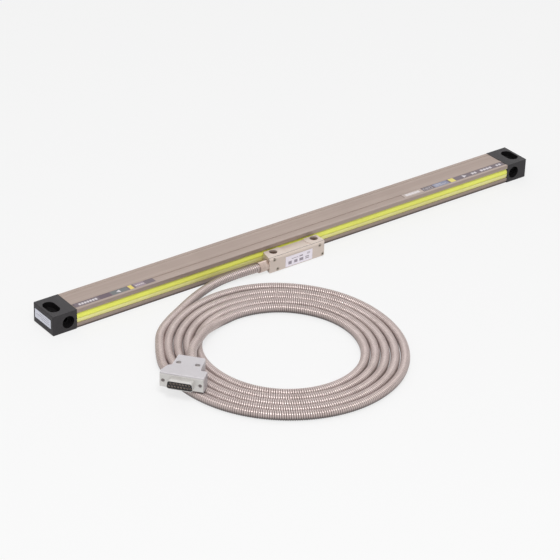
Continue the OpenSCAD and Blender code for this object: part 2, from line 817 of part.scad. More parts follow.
// The blade: a plate in the head, then a double wedge that parts the lips
module blade() color([0.75, 0.75, 0.76]) {
    difference() {
        union() {
            block([head_x - blade_foot_l / 2, blade_root_y, blade_z],
                [head_x + blade_foot_l / 2, head_y1 + 1, blade_top]);
            along_y(head_y1 + 0.3, blade_end_y) polygon([
                [head_x - blade_l / 2, blade_z + blade_t / 2 - 0.1],
                [head_x - blade_l / 2 + blade_wedge, blade_z],
                [head_x + blade_l / 2 - blade_wedge, blade_z],
                [head_x + blade_l / 2, blade_z + blade_t / 2 - 0.1],
                [head_x + blade_l / 2, blade_z + blade_t / 2 + 0.1],
                [head_x + blade_l / 2 - blade_wedge, blade_top],
                [head_x - blade_l / 2 + blade_wedge, blade_top],
                [head_x - blade_l / 2, blade_z + blade_t / 2 + 0.1]
            ]);
        }
        for (s = [-1, 1]) translate([head_x + s * blade_screw_x, blade_screw_y, blade_z - 1])
            cylinder(h = 4, r = blade_screw_d / 2 + screw_gap);
        bar_y(head_x, blade_end_y - 2.5, blade_end_y + 1, blade_z + blade_t / 2, 0.55 + turn_gap);
    }
}

module blade_screws() color("silver") {
    for (s = [-1, 1]) translate([head_x + s * blade_screw_x, blade_screw_y, 0]) {
        translate([0, 0, head_z + 0.3]) cylinder(h = 1.3, r = blade_screw_d - 0.1);
        translate([0, 0, head_z + 0.3]) cylinder(h = blade_top + 1.6 - head_z, d = blade_screw_d);
    }
}

// Flat cable from the circuit board over the blade to the photodetector board
module flat_cable() color([0.85, 0.55, 0.2]) {
    y0 = flex_y0;
    y1 = window_y + 0.8;
    z0 = blade_top;
    z1 = detector_z + detector_t;
    along_x(flex_x - flex_w / 2, flex_x + flex_w / 2) polygon([
        [y0, z0], [beam_y0 + 1.2, z0], [web_y1 - 0.2, z1], [y1, z1],
        [y1, z1 + flex_t], [web_y1 - 0.2, z1 + flex_t], [beam_y0 + 1.2, z0 + flex_t],
        [y0, z0 + flex_t]
    ]);
}

// Ball on a short stem, between the blade and a cone in the carriage
module coupling_ball() color("silver") {
    ball_r = 1.1;
    bar_y(head_x, blade_end_y - 2.4, beam_y0 + 0.6, blade_z + blade_t / 2, 0.55);
    translate([head_x, beam_y0 + 1.2, blade_z + blade_t / 2]) sphere(r = ball_r);
}

// Leaf spring that presses the carriage up to the glass
module carriage_spring() color([0.7, 0.7, 0.65]) {
    z = beam_z1;
    for (s = [-1, 1]) translate([head_x + s * (arm_l / 2 + 1.2), 0, 0])
        along_x(-0.8, 0.8) polygon([
            [beam_y0 + 3.4, z], [beam_y0 + 3.4, z + 0.3], [beam_y0 + 1.2, z + 0.3],
            [beam_y0 + 0.3, blade_z], [beam_y0 - 1.2, blade_z], [beam_y0 - 1.2, blade_z - 0.3],
            [beam_y0, blade_z - 0.3], [beam_y0 + 1, z]
        ]);
}

// ---- Carriage

module carriage_frame() color([0.55, 0.56, 0.58]) {
    difference() {
        union() {
            block([head_x - carriage_l / 2, beam_y0, beam_z0],
                [head_x + carriage_l / 2, beam_y1, beam_z1]);
            // web and arm that reach over the glass
            block([head_x - arm_l / 2, beam_y0, beam_z0], [head_x + arm_l / 2, web_y1, arm_z1]);
            block([head_x - arm_l / 2, beam_y0, arm_z0], [head_x + arm_l / 2, arm_y1, arm_z1]);
            // pedestal under the scanning plate
            block([head_x - reticle_l / 2 - 1, web_y1 - 1, beam_z1 - 1],
                [head_x + reticle_l / 2 + 1, beam_y1, pedestal_z]);
            // bosses for the pins of the face bearings
            for (s = [-1, 1])
                block([head_x + s * bearing_pitch / 2 - boss_w / 2, boss_y0, beam_z1 - 1],
                    [head_x + s * bearing_pitch / 2 + boss_w / 2, boss_y1, boss_top]);
        }
        // window with its floor under the photodetector board
        block([head_x - window_l / 2, window_y, detector_z],
            [head_x + window_l / 2, window_y + window_w, glass_z]);
        // lamp and lens seat in the arm
        translate([head_x, optic_y, arm_z0 - 1]) cylinder(h = lens_t + 1.2, d = lens_d + 2 * fit_gap);
        block([head_x - 2.5 - fit_gap, optic_y - 1.75 - fit_gap, arm_z0],
            [head_x + 2.5 + fit_gap, optic_y + 1.75 + fit_gap, arm_z1 + 1]);
        // way of the flat cable through the web and the pedestal
        block([flex_x - flex_w / 2 - run_gap, beam_y0 - 1, detector_z + detector_t - 0.1],
            [flex_x + flex_w / 2 + run_gap, window_y + 1, blade_top + 0.8]);
        // cone for the coupling ball
        translate([head_x, beam_y0 - eps, blade_z + blade_t / 2]) rotate([-90, 0, 0])
            cylinder(h = 2.8, r1 = 2, r2 = 0.5);
        // face bearings run past the beam
        for (s = [-1, 1]) for (y = [face_back_y, face_front_y])
            bar_y(head_x + s * bearing_pitch / 2, y - run_gap, y + bearing_w + run_gap, face_z,
                bearing_r + run_gap);
        for (s = [-1, 1]) {
            bar_y(head_x + s * bearing_pitch / 2, boss_y0 - 1, boss_y1 + 1, face_z,
                bearing_pin_d / 2);
            translate([head_x + s * bearing_pitch / 2, edge_y, beam_z1 - 3])
                cylinder(h = 4, d = bearing_pin_d);
        }
    }
}

// Pins with the inner rings of the bearings on them
module bearing_pins() color("silver") {
    r = bearing_pin_d / 2;
    ring_r = inner_ring_d / 2;
    for (s = [-1, 1]) {
        x = head_x + s * bearing_pitch / 2;
        front = s < 0 ? face_front_y : boss_y0;
        bar_y(x, front, face_back_y + bearing_w, face_z, r);
        bar_y(x, boss_y1, face_back_y + bearing_w, face_z, ring_r);
        if (s < 0) bar_y(x, face_front_y, boss_y0, face_z, ring_r);
        translate([x, edge_y, beam_z1 - 3]) cylinder(h = edge_z + bearing_w / 2 - beam_z1 + 3, r = r);
        translate([x, edge_y, beam_z1]) cylinder(h = edge_z + bearing_w / 2 - beam_z1, r = ring_r);
    }
}

// Outer ring of a bearing, about the Z axis
module bearing_ring() color([0.82, 0.83, 0.85]) {
    bore_r = inner_ring_d / 2 + turn_gap;
    rotate_extrude() difference() {
        translate([bore_r, 0]) square([bearing_r - bore_r, bearing_w]);
        for (z = [0, bearing_w]) translate([bearing_r, z]) rotate(45) square(0.3, center = true);
    }
}

module face_bearing(s, y) {
    translate([head_x + s * bearing_pitch / 2, y, face_z]) rotate([-90, 0, 0]) bearing_ring();
}

module edge_bearing(s) {
    translate([head_x + s * bearing_pitch / 2, edge_y, edge_z - bearing_w / 2]) bearing_ring();
}

module face_bearing_left_back() face_bearing(-1, face_back_y);

module face_bearing_left_front() face_bearing(-1, face_front_y);

module face_bearing_right() face_bearing(1, face_back_y);

module edge_bearing_left() edge_bearing(-1);

module edge_bearing_right() edge_bearing(1);

module light_source() color([0.9, 0.3, 0.25]) {
    z = arm_z0 + lens_t + 0.2;
    block([head_x - 2.5, optic_y - 1.75, z], [head_x + 2.5, optic_y + 1.75, arm_z1]);
}

module condenser_lens() color([0.8, 0.9, 0.95, 0.5]) {
    translate([head_x, optic_y, arm_z0]) cylinder(h = lens_t, d = lens_d);
    dome_r = 1.5 * lens_d;
    translate([head_x, optic_y, arm_z0]) intersection() {
        translate([0, 0, dome_r - dome_h]) sphere(r = dome_r);
        translate([0, 0, -dome_h - 0.1]) cylinder(h = dome_h + 0.2, d = lens_d - 1);
    }
}

module scanning_plate() color([0.6, 0.75, 0.75, 0.5]) {
    block([head_x - reticle_l / 2, web_y1 + run_gap, pedestal_z],
        [head_x + reticle_l / 2, web_y1 + run_gap + reticle_w, pedestal_z + reticle_t]);
}

module photodetector_board() color([0.1, 0.35, 0.25]) {
    block([head_x - window_l / 2 + fit_gap, window_y + fit_gap, detector_z],
        [head_x + window_l / 2 - fit_gap, window_y + window_w - fit_gap, detector_z + detector_t]);
}

// ---- Gland and conduit

module gland_barrel() color([0.80, 0.76, 0.70]) {
    end = gland_x - barrel_l;
    difference() {
        union() {
            difference() {
                bar_x(end, gland_x + head_slant, gland_y, barrel_z, barrel_d / 2);
                translate([0, 0, head_z - 1]) linear_extrude(head_h + 2) head_plan();
            }
            bar_x(gland_x - 1, gland_x + spigot_l, gland_y, barrel_z, spigot_d / 2);
        }
        bar_x(end - 1, end + socket_depth, gland_y, barrel_z, conduit_r + fit_gap);
        bar_x(end - 1, gland_x + spigot_l + 1, gland_y, barrel_z, passage_r);
    }
}

module conduit_lead() color([0.72, 0.68, 0.65]) tube(smooth_route(lead_points, 2), conduit_r);

module conduit_coil() color([0.72, 0.68, 0.65]) {
    translate([coil_centre[0], coil_centre[1], 0]) rotate_extrude($fn = 120) {
        translate([coil_in + coil_round, 0]) square([coil_out - coil_in - 2 * coil_round, conduit_d]);
        translate([coil_in, coil_round]) square([coil_out - coil_in, conduit_d - 2 * coil_round]);
        for (x = [coil_in + coil_round, coil_out - coil_round])
            for (z = [coil_round, conduit_d - coil_round]) translate([x, z]) circle(r = coil_round);
    }
}

module conduit_tail() color([0.72, 0.68, 0.65]) tube(smooth_route(tail_points, 2), conduit_r);

// ---- Plug

module at_plug() {
    translate([plug_at[0], plug_at[1], plug_z]) rotate(plug_yaw) children();
}

// Rounded D outline about the middle, wide side down, w wide and h high
module nose_outline(w, h, r) {
    slope = tan(nose_slant);
    n = [cos(nose_slant), sin(nose_slant)];
    low = [w / 2 - r * slope - r / n[0], -h / 2 + r];
    high = [w / 2 - (h - r) * slope - r / n[0], h / 2 - r];
    for (s = [-1, 1]) for (p = [low, high]) translate([s * p[0], p[1]]) circle(r = r);
    polygon([[-low[0], -h / 2], [low[0], -h / 2], [high[0], h / 2], [-high[0], h / 2]]);
    polygon([low + r * n, high + r * n, [-high[0] - r * n[0], high[1] + r * n[1]],
        [-low[0] - r * n[0], low[1] + r * n[1]]]);
}

module plug_shell() color([0.82, 0.81, 0.80]) at_plug() {
    difference() {
        union() {
            block([-flange_w / 2, 0, hood_mid - flange_h / 2],
                [flange_w / 2, flange_t, hood_mid + flange_h / 2]);
            translate([0, 0, hood_mid]) along_y(-nose_l, flange_t) nose_outline(nose_w, nose_h, nose_r);
        }
        translate([0, 0, hood_mid]) along_y(-nose_l - 1, flange_t + 1)
            nose_outline(nose_w - 2 * nose_wall, nose_h - 2 * nose_wall, nose_r - nose_wall);
        for (s = [-1, 1])
            bar_y(s * jack_x, -1, flange_t + 1, hood_mid, jack_d / 2 + screw_gap + 0.1);
    }
}

module contact_places() {
    for (row = [0, 1]) for (k = [0:7 - row])
        translate([(k - (7 - row) / 2) * contact_pitch, 0, hood_mid + (row - 0.5) * row_pitch])
            children();
}

module plug_insulator() color([0.06, 0.06, 0.06]) at_plug() {
    inner = 2 * (nose_wall + turn_gap);
    difference() {
        union() {
            translate([0, 0, hood_mid]) along_y(-nose_l + 0.2, flange_t + eps)
                nose_outline(nose_w - inner, nose_h - inner, nose_r - nose_wall);
            block([-nose_w / 2, flange_t, hood_mid - nose_h / 2],
                [nose_w / 2, flange_t + insulator_rear, hood_mid + nose_h / 2]);
        }
        contact_places()
            bar_y(0, -nose_l - 1, flange_t + insulator_rear + 1, 0, contact_d / 2 + turn_gap);
    }
}

module plug_contacts() color([0.85, 0.7, 0.35]) at_plug() contact_places() {
    difference() {
        bar_y(0, -nose_l + 0.6, flange_t + insulator_rear + 3, 0, contact_d / 2);
        bar_y(0, -nose_l, 0, 0, contact_d / 2 - 0.3);
        bar_y(0, flange_t + insulator_rear + 1, flange_t + insulator_rear + 4, 0, contact_d / 2 - 0.3);
    }
}

// Plan of the hood: a square ear on the right, a slanted one on the left
module hood_plan() {
    w = hood_half_w;
    r = hood_rear_w / 2;
    polygon([
        [-w, hood_front], [w, hood_front], [w, ear_y], [r + 1, ear_y], [r, ear_y + 3.5],
        [r - 0.6, hood_l - 1], [r - 1.6, hood_l], [-r + 1.6, hood_l], [-r + 0.6, hood_l - 1],
        [-r, ear_y + 3.3], [-r - 3.5, ear_y + 1.2], [-w, 5]
    ]);
}

module hood_screw_places() {
    for (s = [-1, 1]) translate([s * hood_screw_pitch / 2, hood_screw_y, 0]) children();
}

// The part of the hood between z0 and z1, with the posts of its screws
module hood_shell(z0, z1) {
    inner = hood_rear_w / 2 - hood_wall;
    bay_y = flange_t + insulator_rear;
    difference() {
        intersection() {
            translate([0, 0, z0]) linear_extrude(z1 - z0) hood_plan();
            along_x(-flange_w, flange_w) polygon([
                [hood_front, hood_bevel], [hood_front + hood_bevel, 0], [hood_l + 1, 0],
                [hood_l + 1, hood_h], [hood_front + hood_bevel, hood_h],
                [hood_front, hood_h - hood_bevel]
            ]);
        }
        block([-nose_w / 2 - fit_gap, 0, hood_mid - nose_h / 2 - fit_gap],
            [nose_w / 2 + fit_gap, bay_y + fit_gap, hood_mid + nose_h / 2 + fit_gap]);
        difference() {
            block([-inner, bay_y - 1, hood_wall], [inner, ferrule_y - 2, hood_h - hood_wall]);
            hood_screw_places() cylinder(h = hood_h, d = 2 * hood_screw_d);
        }
        bar_y(0, ferrule_y - 3, ferrule_y, hood_mid, conduit_r - 0.6);
        bar_y(0, ferrule_y - fit_gap, ferrule_y + ferrule_l + fit_gap, hood_mid,
            ferrule_r + fit_gap);
        bar_y(0, ferrule_y, hood_l + 1, hood_mid, conduit_r + fit_gap);
        for (s = [-1, 1]) {
            bar_y(s * jack_x, -1, hood_l, hood_mid, jack_d / 2 + turn_gap);
            bar_y(s * jack_x, jack_head_y, hood_l, hood_mid, jack_head_d / 2 + turn_gap);
        }
        hood_screw_places() {
            translate([0, 0, hood_wall]) cylinder(h = hood_h, d = hood_screw_d);
            translate([0, 0, hood_mid]) cylinder(h = hood_h, r = hood_screw_d / 2 + screw_gap);
            translate([0, 0, hood_h - 2]) cylinder(h = 3, r = hood_screw_d * 0.9 + screw_gap);
        }
    }
}

module hood_lower() at_plug() color([0.80, 0.80, 0.81]) hood_shell(0, hood_mid);

module hood_upper() at_plug() color([0.80, 0.80, 0.81]) hood_shell(hood_mid, hood_h);

module hood_screws() color([0.7, 0.7, 0.72]) at_plug() {
    hood_screw_places() difference() {
        union() {
            translate([0, 0, hood_wall + 0.5]) cylinder(h = hood_h - hood_wall - 2, d = hood_screw_d);
            translate([0, 0, hood_h - 2]) cylinder(h = 1.4, r = hood_screw_d * 0.9);
        }
        translate([-3, -0.35, hood_h - 1.3]) cube([6, 0.7, 2]);
    }
}

module plug_ferrule() color([0.75, 0.72, 0.6]) at_plug() difference() {
    bar_y(0, ferrule_y, ferrule_y + ferrule_l, hood_mid, ferrule_r);
    bar_y(0, ferrule_y - 1, ferrule_y + ferrule_l + 1, hood_mid, conduit_r + turn_gap);
}

module jackscrew(s) color([0.75, 0.75, 0.76]) at_plug() difference() {
    union() {
        bar_y(s * jack_x, 0.1, jack_head_y + 1, hood_mid, jack_d / 2);
        bar_y(s * jack_x, jack_head_y + 0.1, jack_head_y + 0.1 + jack_head_l, hood_mid,
            jack_head_d / 2);
    }
    block([s * jack_x - 0.35, jack_head_y + jack_head_l - 0.8, hood_mid - 3],
        [s * jack_x + 0.35, jack_head_y + jack_head_l + 1, hood_mid + 3]);
}

module jackscrew_left() jackscrew(-1);

module jackscrew_right() jackscrew(1);

housing_extrusion();
end_block_left();
end_block_right();
end_gaskets();
end_block_screws();
upper_seal_lip();
lower_seal_lip();
glass_scale();
glass_bond();
strip_left();
strip_right();
end_label();
head_housing();
head_cover();
cover_gasket();
cover_screws();
head_label();
circuit_board();
board_components();
blade();
blade_screws();
flat_cable();
coupling_ball();
carriage_spring();
carriage_frame();
bearing_pins();
face_bearing_left_back();
face_bearing_left_front();
face_bearing_right();
edge_bearing_left();
edge_bearing_right();
light_source();
condenser_lens();
scanning_plate();
photodetector_board();
gland_barrel();
conduit_lead();
conduit_coil();
conduit_tail();
plug_ferrule();
hood_lower();
hood_upper();
hood_screws();
plug_shell();
plug_insulator();
plug_contacts();
jackscrew_left();
jackscrew_right();
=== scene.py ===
"""Sealed glass scale with its reading head, armoured cable and D-shaped plug.

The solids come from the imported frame. This script lays the wound steel cable,
softens the edges of the visible parts, and gives every part its finish.
+X runs along the scale, -Y is the slot side and +Z is up. Tables and sizes are
in millimetres, and MM turns them into metres.
"""
import math

import bpy
import numpy as np
from mathutils import Matrix, Vector


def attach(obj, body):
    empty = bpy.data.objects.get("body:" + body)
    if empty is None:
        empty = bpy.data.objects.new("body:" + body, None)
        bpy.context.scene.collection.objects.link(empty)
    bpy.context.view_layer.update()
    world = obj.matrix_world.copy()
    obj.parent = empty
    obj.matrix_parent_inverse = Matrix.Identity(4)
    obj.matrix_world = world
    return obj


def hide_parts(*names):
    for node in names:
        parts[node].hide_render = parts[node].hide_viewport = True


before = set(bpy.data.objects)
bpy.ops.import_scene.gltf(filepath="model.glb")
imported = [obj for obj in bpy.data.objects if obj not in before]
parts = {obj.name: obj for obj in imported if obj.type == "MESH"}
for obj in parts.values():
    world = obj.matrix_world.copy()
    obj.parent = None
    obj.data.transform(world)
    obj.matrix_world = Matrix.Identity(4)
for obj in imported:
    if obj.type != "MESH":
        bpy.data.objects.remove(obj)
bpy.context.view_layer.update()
scene = bpy.context.scene
MM = 0.001
WHITE = (1, 1, 1, 1)


# ---- Camera

CAMERA_PLACE = (-1.19597, -1.52906, 1.06709)
CAMERA_TURN = math.radians(-37.64)
CAMERA_RISE = math.radians(29.71)
CAMERA_ROLL = math.radians(1.85)
CAMERA_LENS = 146.74
CAMERA_SENSOR = 36
CAMERA_REACH = 20


def set_camera():
    """Aims the camera by its turn round the scale, its rise over the floor and its roll."""
    level = math.cos(CAMERA_RISE)
    back = Vector((math.sin(CAMERA_TURN) * level, -math.cos(CAMERA_TURN) * level,
                   math.sin(CAMERA_RISE)))
    right = Vector((0, 0, 1)).cross(back).normalized()
    up = back.cross(right)
    side = right * math.cos(CAMERA_ROLL) + up * math.sin(CAMERA_ROLL)
    top = up * math.cos(CAMERA_ROLL) - right * math.sin(CAMERA_ROLL)
    data = bpy.data.cameras.new("camera")
    data.lens = CAMERA_LENS
    data.sensor_width = CAMERA_SENSOR
    data.clip_end = CAMERA_REACH
    camera = bpy.data.objects.new("camera", data)
    place = Matrix((side, top, back)).transposed().to_4x4()
    place.translation = CAMERA_PLACE
    camera.matrix_world = place
    scene.collection.objects.link(camera)
    scene.camera = camera


set_camera()


# ---- Armoured cable: a steel strip wound into an interlocked tube

CABLE_D = 8.6
CABLE_PITCH = 2.0
CABLE_SIDES = 14
CABLE_SMOOTH = math.radians(50)
# One turn of the strip: share of the pitch, distance from the middle line, depth of the groove,
# which also sets its painted shade
STRIP_PROFILE = [(0.0, 3.76, 1.0), (0.2, 4.25, 0.1), (0.55, 4.3, 0.0), (0.84, 4.14, 0.35)]
ROUTE_STEP = 0.25
CURVE_STEPS = 24
PATH_EVERY = 20
COIL_CENTRE = (-130.0, -154.5)
COIL_START = 142
COIL_STEPS = 140
# The coil's radius is averaged over this many degrees both ways, at this many places
EASE_ANGLE = 10
EASE_STEPS = 9
# Turn angle past the start in degrees, and distance of the strand from the middle of the coil
COIL_KNOTS = [
    (15, 110.4), (38, 109.2), (53, 109), (98, 109.6), (128, 110.6), (158, 110.6), (180, 109.1),
    (203, 107.5), (218, 106.8), (248, 108.5), (278, 110), (293, 109.4), (308, 107.7), (323, 105.7),
    (338, 104.3), (360, 102.7), (398, 99.9), (413, 100), (458, 101), (488, 101.7), (518, 102),
    (540, 99.9), (563, 98.5), (578, 98), (608, 99.2), (638, 99.5), (668, 97.2), (683, 96.4),
    (698, 95.3), (720, 94), (758, 91), (773, 91.2), (818, 92.2), (848, 92.9), (878, 93.1),
    (900, 90.9), (923, 89.6), (938, 89.2), (968, 90.2), (998, 90.3), (1028, 88.2), (1043, 87.6),
    (1058, 86.6), (1080, 85.3), (1118, 82.2), (1133, 82.3), (1178, 83.4), (1208, 84.1),
    (1238, 84), (1260, 82.1), (1283, 80.9), (1298, 80.5), (1328, 81.3), (1358, 81), (1388, 79.7),
    (1403, 79), (1418, 78), (1440, 76.3), (1478, 73.4), (1493, 73.5), (1538, 74.8), (1568, 75.3),
    (1598, 75), (1620, 73.3), (1643, 72.2), (1658, 71.8), (1688, 71.1), (1718, 71.2), (1748, 71.3),
]
LEAD_POINTS = [
    (-62.45, -28, 7.3), (-66, -28, 7.3), (-69.5, -28, 7.3), (-79, -26.9, 6.9), (-92, -25.6, 6),
    (-106, -25.4, 5.1), (-120, -27.6, 4.5), (-134, -32.2, 4.3), (-150, -38.9, 4.3),
    (-168, -48, 4.3), (-185.6, -57.4, 4.3), (-200.6, -67.6, 4.3), (-212.6, -80.6, 4.3),
]
PLUG_AT = (-248.65, -166.8)
PLUG_YAW = math.radians(-51)
PLUG_AXIS_Z = 16.4


def on_plug_axis(y):
    """Point on the plug's axis, y behind its flange."""
    return (PLUG_AT[0] - y * math.sin(PLUG_YAW), PLUG_AT[1] + y * math.cos(PLUG_YAW), PLUG_AXIS_Z)


TAIL_POINTS = [
    (-143, -84.7, 4.4), (-153.6, -87.3, 5.3), (-165, -92.5, 7.6), (-175.5, -99, 10.6),
    (-185.5, -106.3, 12.5), (-196.8, -114.2, 12.9), (-207.2, -123.8, 13.8), (-216, -135.6, 15.9),
    on_plug_axis(34.5), on_plug_axis(30), on_plug_axis(24.7),
]


def coil_points():
    """The flat spiral on the floor, its radius eased between the knots."""
    knots = np.array(COIL_KNOTS)
    found = []
    for turn in np.linspace(COIL_KNOTS[0][0], COIL_KNOTS[-1][0], COIL_STEPS):
        near = np.linspace(turn - EASE_ANGLE, turn + EASE_ANGLE, EASE_STEPS)
        radius = np.interp(near, knots[:, 0], knots[:, 1]).mean()
        angle = math.radians(COIL_START + turn)
        found.append((COIL_CENTRE[0] + radius * math.cos(angle),
                      COIL_CENTRE[1] + radius * math.sin(angle), CABLE_D / 2))
    return found


def even_route(points):
    """Smooth line through the points, cut into equal steps, and its length."""
    p = np.array([points[0]] + list(points) + [points[-1]], float)
    line = []
    for i in range(len(points) - 1):
        a, b, c, d = p[i:i + 4]
        for t in np.linspace(0, 1, CURVE_STEPS, endpoint=False):
            line.append(0.5 * (2 * b + (c - a) * t + (2 * a - 5 * b + 4 * c - d) * t ** 2
                               + (3 * b - a - 3 * c + d) * t ** 3))
    line.append(p[-1])
    line = np.array(line)
    along = np.concatenate([[0], np.cumsum(np.linalg.norm(np.diff(line, axis=0), axis=1))])
    places = np.linspace(0, along[-1], int(round(along[-1] / ROUTE_STEP)) + 1)
    return np.stack([np.interp(places, along, line[:, k]) for k in range(3)], axis=1), along[-1]


def wind_strip(route, length):
    """Rows of points round the route, and how deep in a groove every point lies.

    A row advances by one pitch as it goes round, so its end meets a row one turn further on.
    """
    places = np.linspace(0, length, len(route))
    heading = np.gradient(route, axis=0)
    heading /= np.linalg.norm(heading, axis=1)[:, None]
    side = np.cross((0, 0, 1), heading)
    side /= np.linalg.norm(side, axis=1)[:, None]
    crown = np.cross(heading, side)

    def sampled(at, values):
        return np.stack([np.interp(at, places, values[:, k]) for k in range(3)], axis=1)

    turns = int(length / CABLE_PITCH) - 1
    radius = np.array([distance for _, distance, _ in STRIP_PROFILE] * turns)
    depth = [groove for _, _, groove in STRIP_PROFILE] * turns
    grid = np.zeros((len(radius), CABLE_SIDES, 3))
    for k in range(CABLE_SIDES):
        phi = 2 * math.pi * k / CABLE_SIDES
        at = np.array([CABLE_PITCH * (n + share + k / CABLE_SIDES)
                       for n in range(turns) for share, _, _ in STRIP_PROFILE])
        out = sampled(at, side * math.cos(phi) + crown * math.sin(phi))
        grid[:, k] = sampled(at, route) + out * radius[:, None]
    return grid, np.repeat(depth, CABLE_SIDES)


def strip_faces(count):
    """Quads between the rows. The last column joins the first one a whole turn further on."""
    wide, turn = CABLE_SIDES, len(STRIP_PROFILE)
    faces = []
    for row in range(count - 1):
        for k in range(wide - 1):
            a = row * wide + k
            faces.append((a, a + 1, a + wide + 1, a + wide))
        if row + turn + 1 < count:
            a = row * wide + wide - 1
            faces.append((a, (row + turn) * wide, (row + turn + 1) * wide, a + wide))
    return faces


def end_rims(count):
    """The open rims at the two ends of the strip."""
    wide, turn = CABLE_SIDES, len(STRIP_PROFILE)
    first = [row * wide for row in range(turn, -1, -1)] + list(range(1, wide))
    last = ([(count - 1) * wide + k for k in range(wide)]
            + [row * wide + wide - 1 for row in range(count - 2, count - 2 - turn, -1)])
    return first, last


def build_cable():
    """The whole cable as one mesh, with its coarse path and its length in metres."""
    route, length = even_route(LEAD_POINTS + coil_points() + TAIL_POINTS)
    grid, depth = wind_strip(route, length)
    points = [tuple(v) for v in grid.reshape(-1, 3) * MM]
    shade = list(depth)
    faces = strip_faces(len(grid))
    # The two ends, inside the gland and inside the hood, are closed with fans
    for rim, centre in zip(end_rims(len(grid)), (route[0], route[-1])):
        hub = len(points)
        points.append(tuple(centre * MM))
        shade.append(1.0)
        faces += [(hub, rim[n], rim[(n + 1) % len(rim)]) for n in range(len(rim))]
    mesh = bpy.data.meshes.new("armoured_cable")
    mesh.from_pydata(points, [], faces)
    mesh.attributes.new("groove", "FLOAT", "POINT").data.foreach_set("value", shade)
    cable = bpy.data.objects.new("armoured_cable", mesh)
    scene.collection.objects.link(cable)
    recalculate_normals(cable)
    bpy.ops.object.shade_smooth_by_angle(angle=CABLE_SMOOTH)
    return cable, route[::PATH_EVERY] * MM, length * MM


# ---- Modelling helpers

# The weld is in metres, the band that takes a lip's tip in millimetres
WELD_DISTANCE = 2e-6
FLAT_ANGLE = math.radians(0.3)
EDGE_ANGLE = math.radians(32)
SMOOTH_ANGLE = math.radians(40)
EDGE_SEGMENTS = 2
FACE_WEIGHT = 90
LIP_TIP_BAND = 0.2


def pick(obj):
    """Makes obj the only selected object."""
    for other in bpy.context.selected_objects:
        other.select_set(False)
    obj.select_set(True)
    bpy.context.view_layer.objects.active = obj


def recalculate_normals(obj):
    pick(obj)
    bpy.ops.object.mode_set(mode="EDIT")
    bpy.ops.mesh.select_all(action="SELECT")
    bpy.ops.mesh.normals_make_consistent(inside=False)
    bpy.ops.object.mode_set(mode="OBJECT")


def drop_stored_normals(obj):
    if obj.data.has_custom_normals:
        bpy.ops.mesh.customdata_custom_splitnormals_clear()


def softened(node, width, body):
    """A copy of a solid with its sharp edges rounded by width, in millimetres."""
    obj = bpy.data.objects.new(node + "_soft", parts[node].data.copy())
    obj.data.name = obj.name
    scene.collection.objects.link(obj)
    pick(obj)
    drop_stored_normals(obj)
    bpy.ops.object.mode_set(mode="EDIT")
    bpy.ops.mesh.select_all(action="SELECT")
    bpy.ops.mesh.remove_doubles(threshold=WELD_DISTANCE)
    bpy.ops.mesh.set_normals_from_faces()
    bpy.ops.mesh.dissolve_limited(angle_limit=FLAT_ANGLE, delimit=set())
    bpy.ops.object.mode_set(mode="OBJECT")
    drop_stored_normals(obj)
    if width:
        bevel = obj.modifiers.new("edges", "BEVEL")
        bevel.width = width * MM
        bevel.segments = EDGE_SEGMENTS
        bevel.limit_method = "ANGLE"
        bevel.angle_limit = EDGE_ANGLE
        bevel.use_clamp_overlap = False
        bevel.miter_outer = "MITER_ARC"
        bpy.ops.object.modifier_apply(modifier="edges")
    bpy.ops.object.shade_smooth_by_angle(angle=SMOOTH_ANGLE)
    weighted = obj.modifiers.new("faces", "WEIGHTED_NORMAL")
    weighted.keep_sharp = True
    weighted.weight = FACE_WEIGHT
    bpy.ops.object.modifier_apply(modifier="faces")
    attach(obj, body)
    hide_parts(node)
    return obj


def press_lip(obj, tip, reach, move):
    """Bends a lip towards the other one, so that its tongue closes on the blade.

    tip is the height of its free edge, reach is how far from it the bend goes, and move is how
    far the edge travels upward, all in millimetres.
    """
    pick(obj)
    bpy.ops.object.mode_set(mode="EDIT")
    bpy.ops.mesh.select_mode(type="VERT")
    bpy.ops.mesh.select_all(action="DESELECT")
    bpy.ops.object.mode_set(mode="OBJECT")
    for vertex in obj.data.vertices:
        vertex.select = abs(vertex.co.z / MM - tip) < LIP_TIP_BAND
    bpy.ops.object.mode_set(mode="EDIT")
    bpy.ops.transform.translate(value=(0, 0, move * MM), use_proportional_edit=True,
                                proportional_edit_falloff="SHARP", proportional_size=reach * MM)
    bpy.ops.object.mode_set(mode="OBJECT")


# ---- Nodes of the materials

# Half the width in which a mask fades out, in millimetres
SOFT_EDGE = 0.12


def shade_of(r, g, b):
    """A colour as it is seen, from 0 to 255, turned into the linear values of a shader."""
    def linear(c):
        c /= 255
        return c / 12.92 if c <= 0.04045 else ((c + 0.055) / 1.055) ** 2.4
    return (linear(r), linear(g), linear(b), 1.0)


def dimmed(colour, share):
    """The colour at a share of its strength."""
    return tuple(share * c for c in colour[:3]) + (1,)


def feed(tree, value, socket):
    """Gives a socket a node's first output, another socket, or a plain value."""
    if isinstance(value, bpy.types.Node):
        value = value.outputs[0]
    if isinstance(value, bpy.types.NodeSocket):
        tree.links.new(value, socket)
    else:
        socket.default_value = value


def put(tree, kind, *values, **named):
    """Adds a node. Values fill its sockets in order, named ones with a capital their own socket.

    The other named values are settings of the node.
    """
    made = tree.nodes.new("ShaderNode" + kind)
    for key in [k for k in named if k.islower()]:
        setattr(made, key, named.pop(key))
    for key, value in list(enumerate(values)) + list(named.items()):
        feed(tree, value, made.inputs[key])
    return made


def mixed(tree, share, first, second):
    """The first colour, going over into the second one as share goes to 1."""
    made = put(tree, "Mix", data_type="RGBA")
    for key, value in ((0, share), (6, first), (7, second)):
        feed(tree, value, made.inputs[key])
    return made.outputs[2]


def math_of(tree, operation, *values, clamp=False):
    return put(tree, "Math", *values, operation=operation, use_clamp=clamp).outputs[0]


def times(tree, first, second):
    return math_of(tree, "MULTIPLY", first, second)


